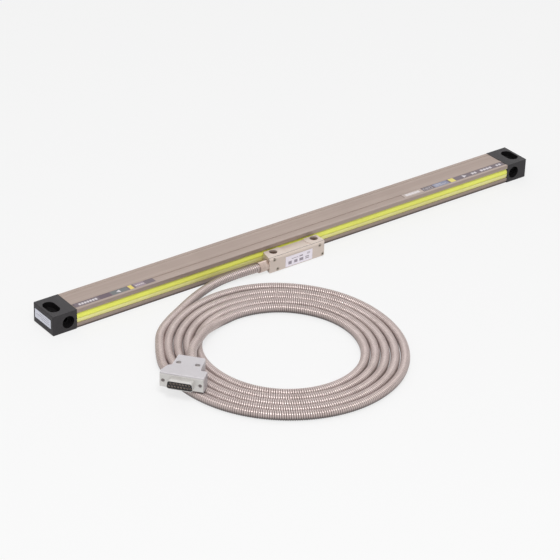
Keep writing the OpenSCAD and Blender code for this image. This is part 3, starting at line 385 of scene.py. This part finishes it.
def span(tree, value, start, end, low=0.0, high=1.0):
    """Low where the value is at start, high where it is at end, and even between them."""
    return put(tree, "MapRange", value, start, end, low, high).outputs[0]


def within(tree, value, low, high):
    """1 where the value lies between low and high, in millimetres, with soft ends."""
    up = span(tree, value, (low - SOFT_EDGE) * MM, (low + SOFT_EDGE) * MM)
    down = span(tree, value, (high - SOFT_EDGE) * MM, (high + SOFT_EDGE) * MM, 1.0, 0.0)
    return times(tree, up, down)


def shaded(tree, value, start, full, strength):
    """0 where the value is at start, growing to strength at full. Both are in millimetres."""
    return span(tree, value, start * MM, full * MM, 0.0, strength)


def any_of(tree, masks):
    """1 where any of the masks is 1."""
    total = masks[0]
    for mask in masks[1:]:
        total = math_of(tree, "MAXIMUM", total, mask)
    return total


def bar(tree, u, v, u0, u1, v0, v1):
    """1 in a plain printed bar."""
    return times(tree, within(tree, u, u0, u1), within(tree, v, v0, v1))


# ---- Shared surface effects

def new_group(name, outputs, **inputs):
    """A group with a Vector, the named inputs with their first values, and number outputs."""
    tree = bpy.data.node_groups.new(name, "ShaderNodeTree")
    tree.interface.new_socket("Vector", in_out="INPUT", socket_type="NodeSocketVector")
    for label, value in inputs.items():
        kind = "NodeSocketFloat" if isinstance(value, float) else "NodeSocketVector"
        tree.interface.new_socket(label, in_out="INPUT", socket_type=kind).default_value = value
    for label in outputs:
        tree.interface.new_socket(label, in_out="OUTPUT", socket_type="NodeSocketFloat")
    return tree, tree.nodes.new("NodeGroupInput").outputs, tree.nodes.new("NodeGroupOutput").inputs


def grain_group():
    """Fine irregular grain of a coated, moulded or cast surface."""
    tree, given, made = new_group("fine_grain", ("Mask", "Height"), Scale=900.0)
    small = put(tree, "TexNoise", Vector=given["Vector"], Scale=given["Scale"], Detail=3.0,
                Roughness=0.6)
    coarse = put(tree, "TexNoise", Vector=given["Vector"], Scale=times(tree, given["Scale"], 0.13),
                 Detail=2.0)
    both = math_of(tree, "ADD", times(tree, small, 0.7), times(tree, coarse, 0.3))
    feed(tree, span(tree, both, 0.3, 0.7), made["Mask"])
    feed(tree, both, made["Height"])
    return tree


def lines_group():
    """Drawing lines that run along one direction of an extruded, turned or brushed surface."""
    tree, given, made = new_group("drawn_lines", ("Mask", "Height"), Stretch=(4.0, 900.0, 900.0))
    pulled = put(tree, "VectorMath", given["Vector"], given["Stretch"], operation="MULTIPLY")
    fine = put(tree, "TexNoise", Vector=pulled, Scale=1.0, Detail=4.0, Roughness=0.65)
    wide = put(tree, "TexNoise", Vector=pulled, Scale=0.18, Detail=1.0)
    both = math_of(tree, "ADD", times(tree, fine, 0.6), times(tree, wide, 0.4))
    feed(tree, span(tree, both, 0.32, 0.68), made["Mask"])
    feed(tree, both, made["Height"])
    return tree


def marks_group():
    """Soft uneven patches where a surface was handled or wiped."""
    tree, given, made = new_group("handling_marks", ("Mask",), Scale=30.0)
    cloud = put(tree, "TexNoise", Vector=given["Vector"], Scale=given["Scale"], Detail=5.0,
                Roughness=0.55, Distortion=0.6)
    feed(tree, span(tree, cloud, 0.4, 0.72), made["Mask"])
    return tree


def wear_group():
    """Edges rubbed bare, broken up by noise."""
    tree, given, made = new_group("edge_wear", ("Mask",), Radius=0.6 * MM, Breakup=700.0)
    rounded = put(tree, "Bevel", Radius=given["Radius"], samples=6)
    true = put(tree, "NewGeometry").outputs["Normal"]
    facing = put(tree, "VectorMath", rounded, true, operation="DOT_PRODUCT").outputs["Value"]
    chips = put(tree, "TexNoise", Vector=given["Vector"], Scale=given["Breakup"], Detail=3.0)
    kept = span(tree, chips, 0.42, 0.62)
    edge = span(tree, facing, 0.985, 0.86)
    feed(tree, math_of(tree, "MULTIPLY", edge, kept, clamp=True), made["Mask"])
    return tree


GROUPS = {g.name: g for g in (grain_group(), lines_group(), marks_group(), wear_group())}


def use(tree, name, place, **named):
    """Adds a shared effect and gives its outputs."""
    made = tree.nodes.new("ShaderNodeGroup")
    made.node_tree = GROUPS[name]
    tree.links.new(place, made.inputs["Vector"])
    for key, value in named.items():
        made.inputs[key].default_value = value
    return made.outputs


# ---- Kinds of surface. Depths of relief are in millimetres

ALL_WAYS = (900.0, 900.0, 900.0)


def new_material(name):
    """A fresh material with its tree, its shader's inputs and its object coordinates."""
    material = bpy.data.materials.new(name)
    material.use_nodes = True
    tree = material.node_tree
    place = tree.nodes.new("ShaderNodeTexCoord").outputs["Object"]
    return material, tree, tree.nodes["Principled BSDF"].inputs, place


def lay(tree, skin, base, gloss, height=None, depth=0.0):
    """Joins the colour, the roughness and the relief to the shader."""
    feed(tree, base, skin["Base Color"])
    feed(tree, gloss, skin["Roughness"])
    if height is not None:
        bump = put(tree, "Bump", Strength=1.0, Distance=depth * MM, Height=height)
        feed(tree, bump, skin["Normal"])


def reopened(material):
    """The tree of a finished material, its shader's inputs and its X, Y and Z."""
    tree = material.node_tree
    place = tree.nodes.new("ShaderNodeTexCoord").outputs["Object"]
    return tree, tree.nodes["Principled BSDF"].inputs, put(tree, "SeparateXYZ", place).outputs


def paint_over(tree, skin, mask, colour):
    """Lays one more colour over the base colour where the mask is 1."""
    before = skin["Base Color"].links[0].from_socket
    feed(tree, mixed(tree, mask, before, colour), skin["Base Color"])


def coated(name, colour, darker, rough, metal=0.0, grain=1100.0, depth=0.03, worn=None, coat=0.0):
    """Paint, powder coat, die-cast skin or moulding.

    It has grain and patches, and worn edges if worn is a colour.
    """
    material, tree, skin, place = new_material(name)
    fine = use(tree, "fine_grain", place, Scale=grain)
    patches = use(tree, "handling_marks", place, Scale=32.0)["Mask"]
    base = mixed(tree, fine["Mask"], darker, colour)
    between = tuple(0.5 * (a + b) for a, b in zip(colour, darker))
    base = mixed(tree, times(tree, patches, 0.5), base, between)
    gloss = span(tree, patches, 0.0, 1.0, rough, rough + 0.1)
    if worn:
        edge = use(tree, "edge_wear", place)["Mask"]
        base = mixed(tree, edge, base, worn)
        gloss = span(tree, edge, 0.0, 1.0, gloss, 0.3)
    lay(tree, skin, base, gloss, fine["Height"], depth)
    skin["Metallic"].default_value = metal
    skin["Coat Weight"].default_value = coat
    return material


def brushed(name, colour, darker, rough, metal=1.0, stretch=ALL_WAYS):
    """Bare or anodised metal with lines along one direction, or none if stretched all ways."""
    material, tree, skin, place = new_material(name)
    lines = use(tree, "drawn_lines", place, Stretch=stretch)
    patches = use(tree, "handling_marks", place, Scale=26.0)["Mask"]
    base = mixed(tree, lines["Mask"], darker, colour)
    base = mixed(tree, times(tree, patches, 0.35), base, dimmed(colour, 0.86))
    gloss = span(tree, lines["Mask"], 0.0, 1.0, rough + 0.08, rough)
    gloss = math_of(tree, "ADD", gloss, times(tree, patches, 0.06))
    lay(tree, skin, base, gloss, lines["Height"], 0.02)
    skin["Metallic"].default_value = metal
    return material


def rubber_lip(name, colour, darker, rough):
    """Yellow-green elastomer with faint drawing lines and dusty patches."""
    material, tree, skin, place = new_material(name)
    lines = use(tree, "drawn_lines", place, Stretch=(2.0, 700.0, 700.0))
    patches = use(tree, "handling_marks", place, Scale=22.0)["Mask"]
    base = mixed(tree, lines["Mask"], darker, colour)
    base = mixed(tree, times(tree, patches, 0.35), base, shade_of(205, 200, 96))
    gloss = span(tree, patches, 0.0, 1.0, rough, rough + 0.12)
    lay(tree, skin, base, gloss, lines["Height"], 0.03)
    return material


def clear_plate(name, tint, rough):
    """Glass of the scale and of the optics, with faint dust."""
    material, tree, skin, place = new_material(name)
    dust = use(tree, "handling_marks", place, Scale=40.0)["Mask"]
    lay(tree, skin, mixed(tree, dust, tint, dimmed(tint, 0.9)),
        span(tree, dust, 0.0, 1.0, rough, rough + 0.08))
    skin["Transmission Weight"].default_value = 0.9
    skin["IOR"].default_value = 1.5
    return material


def solder_resist():
    """Green circuit board with pale tracks."""
    material, tree, skin, place = new_material("solder_resist")
    tracks = put(tree, "TexWave", Vector=place, Scale=180.0, Distortion=6.0, Detail=1.0,
                 wave_type="BANDS")
    line = span(tree, tracks.outputs["Fac"], 0.7, 0.8)
    fine = use(tree, "fine_grain", place, Scale=1500.0)["Mask"]
    base = mixed(tree, line, shade_of(24, 84, 52), shade_of(48, 122, 74))
    base = mixed(tree, times(tree, fine, 0.2), base, shade_of(14, 60, 38))
    lay(tree, skin, base, span(tree, line, 0.0, 1.0, 0.35, 0.25), line, 0.03)
    return material


# ---- Surfaces of single pieces

# A painted shade is where it starts, where it is full, and how strong it is there. These go by
# height
FOOT_SHADE = (5.2, 3.4, 0.16)
REBATE_SHADE = (2.6, 2.0, 0.56)
# The cable darkens towards the floor, a painted shade on its underside
CABLE_SHADE = (5.4, 2.2, 0.9)
# The painted shade on the foot and in the rebate lies only on the slot side, in front of this line
SLOT_SIDE_Y = -13.4
# Screw bores of the head
HEAD_BORES = [(-43.5, -22.6), (5, -22.6)]
HEAD_BORE_RADIUS = 4.08
# Painted shade down in the bores, by height: where it starts, where it is full, and its strength
HEAD_BORE_SHADE = (15.2, 12.6, 0.92)
# Painted shade in the pocket and counterbore of an end block as x, y and z, with x counted from
# the middle both ways
END_HOLLOWS = [((269.9, 282.5), (-10.3, 10.3), (0.4, 19.6)),
               ((261.9, 274.7), (-16.1, 16), (3.1, 15.9))]
# Painted shade in the sockets of the cover screws, by their depth along Y
SOCKET_SHADE = (-33.36, -33.3, 0.95)


def wound_steel():
    """Steel strip of the cable: bright crowns, painted shade in the grooves, and painted shade on
    the underside.
    """
    material, tree, skin, place = new_material("wound_steel_strip")
    groove = put(tree, "Attribute", attribute_name="groove").outputs["Fac"]
    patches = use(tree, "handling_marks", place, Scale=60.0)["Mask"]
    fine = use(tree, "fine_grain", place, Scale=1600.0)
    crown = mixed(tree, patches, shade_of(206, 190, 186), shade_of(190, 173, 168))
    crown = mixed(tree, times(tree, fine["Mask"], 0.3), crown, shade_of(222, 207, 203))
    # Painted shade: the grooves between the turns are darkened by their depth
    base = mixed(tree, groove, crown, shade_of(50, 44, 43))
    height = put(tree, "SeparateXYZ", place).outputs["Z"]
    # Painted shade: the cable darkens towards the floor
    base = mixed(tree, shaded(tree, height, *CABLE_SHADE), base, shade_of(46, 41, 40))
    lay(tree, skin, base, span(tree, groove, 0.0, 1.0, 0.26, 0.6), fine["Height"], 0.01)
    skin["Metallic"].default_value = 0.6
    return material


def extrusion_metal():
    """Bronze anodised extrusion, with painted shade along its foot and in the rebate under it."""
    material = brushed("bronze_anodised", shade_of(171, 155, 146), shade_of(157, 140, 131), 0.42,
                       metal=0.5, stretch=(2.5, 520.0, 520.0))
    tree, skin, axes = reopened(material)
    front = math_of(tree, "LESS_THAN", axes["Y"], SLOT_SIDE_Y * MM)
    # Painted shade on the slot side's foot and in the rebate under it
    painted_shade = math_of(tree, "ADD", shaded(tree, axes["Z"], *FOOT_SHADE),
                   shaded(tree, axes["Z"], *REBATE_SHADE))
    paint_over(tree, skin, times(tree, front, painted_shade), shade_of(52, 44, 42))
    return material


def end_block_coat():
    """Dull black powder coat, with painted shade on the walls of the pocket and the counterbore.
    """
    material = coated("black_powder_coat", shade_of(66, 64, 66), shade_of(54, 52, 54), 0.42,
                      worn=shade_of(84, 81, 83))
    tree, skin, axes = reopened(material)
    skin["Specular IOR Level"].default_value = 0.15
    across = math_of(tree, "ABSOLUTE", axes["X"])
    masks = []
    for x, y, z in END_HOLLOWS:
        plan = times(tree, within(tree, across, *x), within(tree, axes["Y"], *y))
        masks.append(times(tree, plan, within(tree, axes["Z"], *z)))
    # Painted shade: the pocket and the counterbore are darkened to near black
    paint_over(tree, skin, times(tree, any_of(tree, masks), 0.85), shade_of(8, 7, 8))
    return material


def head_coat():
    """Satin champagne coat, with painted brown shade down in the screw bores."""
    material = coated("champagne_satin", shade_of(217, 203, 192), shade_of(208, 193, 183), 0.4,
                      metal=0.2, worn=shade_of(232, 224, 214), grain=1400.0)
    tree, skin, axes = reopened(material)
    flat = put(tree, "CombineXYZ", axes["X"], axes["Y"], 0.0)
    masks = []
    for x, y in HEAD_BORES:
        away = put(tree, "VectorMath", flat, (x * MM, y * MM, 0), operation="DISTANCE")
        masks.append(math_of(tree, "LESS_THAN", away.outputs["Value"], HEAD_BORE_RADIUS * MM))
    # Painted shade: the bores darken with depth below the top
    deep = shaded(tree, axes["Z"], *HEAD_BORE_SHADE)
    paint_over(tree, skin, times(tree, any_of(tree, masks), deep), shade_of(116, 92, 79))
    return material


def socket_screw():
    """Satin screw heads with painted shade in their sockets."""
    material = brushed("socket_screw", shade_of(190, 178, 164), shade_of(160, 148, 136), 0.34,
                       metal=0.8)
    tree, skin, axes = reopened(material)
    # Painted shade: the sockets darken with depth along Y
    paint_over(tree, skin, shaded(tree, axes["Y"], *SOCKET_SHADE), shade_of(40, 34, 32))
    return material


# ---- Printed films

STRIP_MIDDLE_Y = -10
ARROW_SPREAD = 0.55
PRINT_COVER = 0.76
INK_COVER = 0.75
LABEL_PAPER = (250, 243, 252)
END_LABEL_PAPER = (228, 230, 242)
# Colour fields are (from, to, colour) along the strip, marks are (from, to, low, high)
LEFT_FIELDS = [
    (27, 39.5, shade_of(86, 66, 80)), (40, 57.5, shade_of(96, 100, 102)),
    (59.2, 63.4, shade_of(226, 204, 92)), (65.5, 76.5, shade_of(146, 128, 138)),
]
LEFT_MARKS = ([(5 + 2.9 * n, 7.2 + 2.9 * n, -11.6, -8.6) for n in range(7)]
              + [(66.5 + 1.9 * n, 67.9 + 1.9 * n, -10.7, -9.5) for n in range(5)])
RIGHT_FIELDS = [
    (0, 24.6, shade_of(184, 168, 159)), (25.6, 37, shade_of(92, 80, 86)),
    (39.6, 58, shade_of(128, 132, 156)), (60.4, 66.8, shade_of(226, 212, 104)),
]
RIGHT_MARKS = (
    [(3.2 + 3.6 * n, 6.5 + 3.6 * n, -12.0, -8.2) for n in range(5)]
    + [(26.5, 37, -12.2, -11.9), (26.5, 37, -8.3, -8.0), (26.5, 26.9, -12.2, -8.0),
       (36.6, 37, -12.2, -8.0), (28.2, 35.2, -10.3, -9.7), (41.6, 50, -9.2, -8.6),
       (41.6, 55, -11.2, -10.7), (89.6, 92.2, -11.8, -8.4), (93, 95.6, -11.8, -8.4)]
    + [(101.4 + 3.9 * n, 104.4 + 3.9 * n, -11.8, -8.4) for n in range(4)]
    + [(122.6, 125, -11.6, -8.6), (126, 128.6, -11.6, -8.6)])
# Bars of the labels as (from, to, low, high)
HEAD_ROWS = [
    (-29.5, -21.5, 8.3, 8.9), (-20, -16, 8.0, 9.4), (-11.2, -7.4, 9.9, 10.3),
    (-11.2, -7.4, 9.1, 9.5), (-11.2, -7.4, 8.3, 8.7), (-33.2, -29.2, 3.2, 6.6),
    (-26.2, -22.4, 3.4, 6.4), (-20, -15.4, 3.4, 6.4), (-13, -8.6, 3.6, 4.6),
    (-13, -8.6, 5.4, 6.4),
]
END_ROWS = [(-10, 6, 12.6, 13.1), (-10, 11, 10.6, 11.1), (-10, 4, 8.6, 9.1)]


def printed_strip(name, start_x, fields, marks, arrow):
    """Dark film in the roof channel with plain printed bars, a pointer and colour fields.

    arrow is where the pointer's tip is, how long it is, and 1 or -1 for where it widens.
    """
    material, tree, skin, place = new_material(name)
    axes = put(tree, "SeparateXYZ", place).outputs
    u = math_of(tree, "SUBTRACT", axes["X"], start_x * MM)
    v = axes["Y"]
    fine = use(tree, "fine_grain", place, Scale=1500.0)
    patches = use(tree, "handling_marks", place, Scale=45.0)["Mask"]
    film = mixed(tree, fine["Mask"], shade_of(90, 75, 84), shade_of(103, 87, 95))
    film = mixed(tree, patches, film, shade_of(112, 97, 105))
    for start, end, colour in fields:
        film = mixed(tree, within(tree, u, start, end), film, colour)
    tip, size, sense = arrow
    away = times(tree, math_of(tree, "SUBTRACT", u, tip * MM), sense)
    off = math_of(tree, "ABSOLUTE", math_of(tree, "SUBTRACT", v, STRIP_MIDDLE_Y * MM))
    inside = math_of(tree, "LESS_THAN", off, times(tree, away, ARROW_SPREAD))
    printed = [bar(tree, u, v, *mark) for mark in marks]
    printed.append(times(tree, inside, within(tree, away, 0, size)))
    film = mixed(tree, times(tree, any_of(tree, printed), PRINT_COVER), film,
                 shade_of(232, 226, 230))
    lay(tree, skin, film, span(tree, patches, 0.0, 1.0, 0.34, 0.46), fine["Height"], 0.01)
    return material


def label_film(name, rows, across, paper):
    """Pale upright film with plain grey bars and no words, read along the direction across."""
    material, tree, skin, place = new_material(name)
    u = put(tree, "VectorMath", place, across, operation="DOT_PRODUCT").outputs["Value"]
    v = put(tree, "SeparateXYZ", place).outputs["Z"]
    fine = use(tree, "fine_grain", place, Scale=1800.0)
    patches = use(tree, "handling_marks", place, Scale=90.0)["Mask"]
    fibre, wiped = (shade_of(*[c - less for c in paper]) for less in (6, 14))
    film = mixed(tree, fine["Mask"], fibre, shade_of(*paper))
    film = mixed(tree, times(tree, patches, 0.4), film, wiped)
    ink = any_of(tree, [bar(tree, u, v, *row) for row in rows])
    film = mixed(tree, times(tree, ink, INK_COVER), film, shade_of(104, 92, 104))
    lay(tree, skin, film, span(tree, patches, 0.0, 1.0, 0.4, 0.52), fine["Height"], 0.01)
    return material


FINISH = {
    "bronze": extrusion_metal(),
    "black_coat": end_block_coat(),
    "gasket": coated("black_gasket", shade_of(44, 42, 44), shade_of(30, 29, 30), 0.7,
                     grain=1500.0),
    "upper_lip": rubber_lip("upper_lip_elastomer", shade_of(244, 247, 114),
                            shade_of(232, 237, 96), 0.34),
    # Painted light and reflection: the lower lip is paler and brighter than the upper lip, making
    # up for the shade on its face
    "lower_lip": rubber_lip("lower_lip_elastomer", shade_of(253, 251, 172),
                            shade_of(244, 241, 158), 0.4),
    "steel": brushed("screw_steel", shade_of(186, 184, 184), shade_of(150, 148, 150), 0.3),
    "glass": clear_plate("scale_glass", shade_of(222, 236, 234), 0.03),
    "lens": clear_plate("lens_glass", shade_of(232, 242, 246), 0.02),
    "bond": coated("bond_line", shade_of(206, 205, 202), shade_of(190, 189, 186), 0.5),
    "head": head_coat(),
    "gland": brushed("turned_gland", shade_of(206, 188, 178), shade_of(176, 156, 146), 0.22,
                     metal=0.8, stretch=(900.0, 4.0, 4.0)),
    "hood": coated("die_cast_hood", shade_of(197, 193, 196), shade_of(187, 183, 186), 0.42,
                   metal=0.3, grain=1200.0, depth=0.04, worn=shade_of(236, 234, 232)),
    "jackscrew": brushed("oiled_screw", shade_of(132, 124, 122), shade_of(104, 97, 96), 0.42,
                         metal=0.6),
    "hood_screw": brushed("hood_screw_steel", shade_of(168, 162, 160), shade_of(130, 124, 123),
                          0.32, metal=0.8),
    "socket_screw": socket_screw(),
    "shell": brushed("tin_plate", shade_of(216, 214, 211), shade_of(202, 199, 196), 0.3,
                     metal=0.4, stretch=(700.0, 60.0, 700.0)),
    "insulator": coated("black_moulding", shade_of(30, 27, 27), shade_of(22, 20, 20), 0.5,
                        grain=1500.0),
    "gold": brushed("gold_plate", shade_of(202, 186, 174), shade_of(172, 156, 144), 0.34),
    "board": solder_resist(),
    "chips": coated("chip_moulding", shade_of(50, 50, 52), shade_of(36, 36, 38), 0.5,
                    grain=1500.0),
    "ground": brushed("ground_steel", shade_of(190, 190, 192), shade_of(160, 160, 164), 0.28,
                      stretch=(900.0, 30.0, 900.0)),
    "flex": coated("flat_cable_film", shade_of(212, 140, 62), shade_of(186, 116, 46), 0.36,
                   grain=900.0),
    "carriage": brushed("machined_carriage", shade_of(182, 184, 188), shade_of(156, 158, 162),
                        0.36, stretch=(30.0, 900.0, 900.0)),
    "bearing": brushed("bearing_steel", shade_of(214, 214, 218), shade_of(192, 192, 198), 0.18,
                       stretch=(900.0, 900.0, 30.0)),
    "lamp": coated("lamp_resin", shade_of(214, 84, 70), shade_of(190, 64, 54), 0.22, coat=0.5),
    "cable": wound_steel(),
    "strip_left": printed_strip("printed_strip_left", -258.3, LEFT_FIELDS, LEFT_MARKS,
                                (45.4, 4.2, 1)),
    "strip_right": printed_strip("printed_strip_right", 126.3, RIGHT_FIELDS, RIGHT_MARKS,
                                 (82.8, 4.8, -1)),
    "head_label": label_film("head_label_film", HEAD_ROWS, (1, 0, 0), LABEL_PAPER),
    "end_label": label_film("end_label_film", END_ROWS, (0, 1, 0), END_LABEL_PAPER),
}


def dress(obj, finish):
    obj.data.materials.clear()
    obj.data.materials.append(FINISH[finish])


# ---- Pieces on the frame

cable, cable_path, cable_length = build_cable()
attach(cable, "reading_head")
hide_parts("conduit_lead", "conduit_coil", "conduit_tail")
dress(cable, "cable")

# Node, edge radius in millimetres, body, slot, finish
SOFT_PARTS = [
    ("housing_extrusion", 0.1, "scale", "bronze_aluminium", "bronze"),
    ("end_block_left", 0.25, "scale", "black_paint", "black_coat"),
    ("end_block_right", 0.25, "scale", "black_paint", "black_coat"),
    ("upper_seal_lip", 0, "scale", "upper_lip_rubber", "upper_lip"),
    ("lower_seal_lip", 0, "scale", "lower_lip_rubber", "lower_lip"),
    ("head_housing", 0.2, "reading_head", "head_metal", "head"),
    ("head_cover", 0.2, "reading_head", "head_metal", "head"),
    ("gland_barrel", 0.2, "reading_head", "gland_metal", "gland"),
    ("hood_lower", 0.2, "reading_head", "hood_metal", "hood"),
    ("hood_upper", 0.2, "reading_head", "hood_metal", "hood"),
    ("plug_shell", 0.12, "reading_head", "shell_metal", "shell"),
    ("plug_insulator", 0.1, "reading_head", "insulator_black", "insulator"),
    ("jackscrew_left", 0.12, "jackscrew_left", "screw_steel", "jackscrew"),
    ("jackscrew_right", 0.12, "jackscrew_right", "screw_steel", "jackscrew"),
]
soft = {}
for node, width, body, slot, finish in SOFT_PARTS:
    soft[node] = softened(node, width, body)
    dress(soft[node], finish)

press_lip(soft["upper_seal_lip"], 10.8, 5.2, -0.5)
press_lip(soft["lower_seal_lip"], 9.2, 3.7, 0.5)

KEPT_PARTS = {
    "gasket": ["end_gaskets", "cover_gasket"],
    "steel": ["end_block_screws", "blade_screws", "coupling_ball"],
    "hood_screw": ["hood_screws"],
    "socket_screw": ["cover_screws"],
    "glass": ["glass_scale", "scanning_plate"],
    "lens": ["condenser_lens"],
    "bond": ["glass_bond"],
    "strip_left": ["strip_left"],
    "strip_right": ["strip_right"],
    "end_label": ["end_label"],
    "head_label": ["head_label"],
    "board": ["circuit_board", "photodetector_board"],
    "chips": ["board_components"],
    "ground": ["blade", "carriage_spring"],
    "flex": ["flat_cable"],
    "carriage": ["carriage_frame"],
    "bearing": ["bearing_pins", "face_bearing_left_back", "face_bearing_left_front",
                "face_bearing_right", "edge_bearing_left", "edge_bearing_right"],
    "lamp": ["light_source"],
    "gold": ["plug_ferrule", "plug_contacts"],
}
for finish, nodes in KEPT_PARTS.items():
    for node in nodes:
        dress(parts[node], finish)


# ---- Floor and light

FLOOR_SIZE = 8
FLOOR_DROP = 0.3
FLOOR_GREY = (0.8, 0.8, 0.8, 1)
FLOOR_GLOW = 0.72
WORLD_LEVEL = 0.46
# Name, place, aim, width of the disk, watts
LAMPS = [
    ("overhead", (0.05, -0.1, 2.0), (0.05, -0.1, 0), 2.2, 2.5),
    ("front", (-0.76, -1.09, 1.93), (0, -0.1, 0), 0.8, 26),
    ("back", (1.15, 1.4, 1.45), (0, 0, 0), 1.6, 4),
]


def sees_background(tree):
    """1 for rays from the camera, off a shine and through glass, which see the pale background."""
    path = put(tree, "LightPath").outputs
    seen = math_of(tree, "MAXIMUM", path["Is Camera Ray"], path["Is Glossy Ray"])
    return math_of(tree, "MAXIMUM", seen, path["Is Transmission Ray"])


def blended(tree, share, first, second, kind):
    """Puts out the first shader, going over into the second one as share goes to 1."""
    both = put(tree, "MixShader", share, first, second)
    feed(tree, both, put(tree, kind).inputs["Surface"])


def add_floor():
    """Matt floor that keeps the shadow and glows towards the background's white."""
    bpy.ops.mesh.primitive_plane_add(size=FLOOR_SIZE, location=(0, 0, -FLOOR_DROP * MM))
    floor = bpy.context.object
    floor.name = "floor"
    material = bpy.data.materials.new("pale_floor")
    material.use_nodes = True
    tree = material.node_tree
    tree.nodes.clear()
    matt = put(tree, "BsdfDiffuse", Color=FLOOR_GREY)
    white = put(tree, "Emission", Color=WHITE, Strength=1.0)
    share = times(tree, sees_background(tree), FLOOR_GLOW)
    blended(tree, share, matt, white, "OutputMaterial")
    floor.data.materials.append(material)


def add_world():
    """White where it is seen, and weaker as a light."""
    world = bpy.data.worlds.new("studio")
    scene.world = world
    world.use_nodes = True
    tree = world.node_tree
    tree.nodes.clear()
    light = put(tree, "Background", Color=WHITE, Strength=WORLD_LEVEL)
    white = put(tree, "Background", Color=WHITE, Strength=1.0)
    blended(tree, sees_background(tree), light, white, "OutputWorld")


def add_lamp(name, place, aim, size, power):
    data = bpy.data.lights.new(name, "AREA")
    data.shape = "DISK"
    data.size = size
    data.energy = power
    lamp = bpy.data.objects.new(name, data)
    lamp.location = place
    lamp.rotation_euler = (Vector(aim) - Vector(place)).to_track_quat("-Z", "Y").to_euler()
    scene.collection.objects.link(lamp)


add_floor()
add_world()
for settings in LAMPS:
    add_lamp(*settings)

scene.view_settings.view_transform = "Standard"
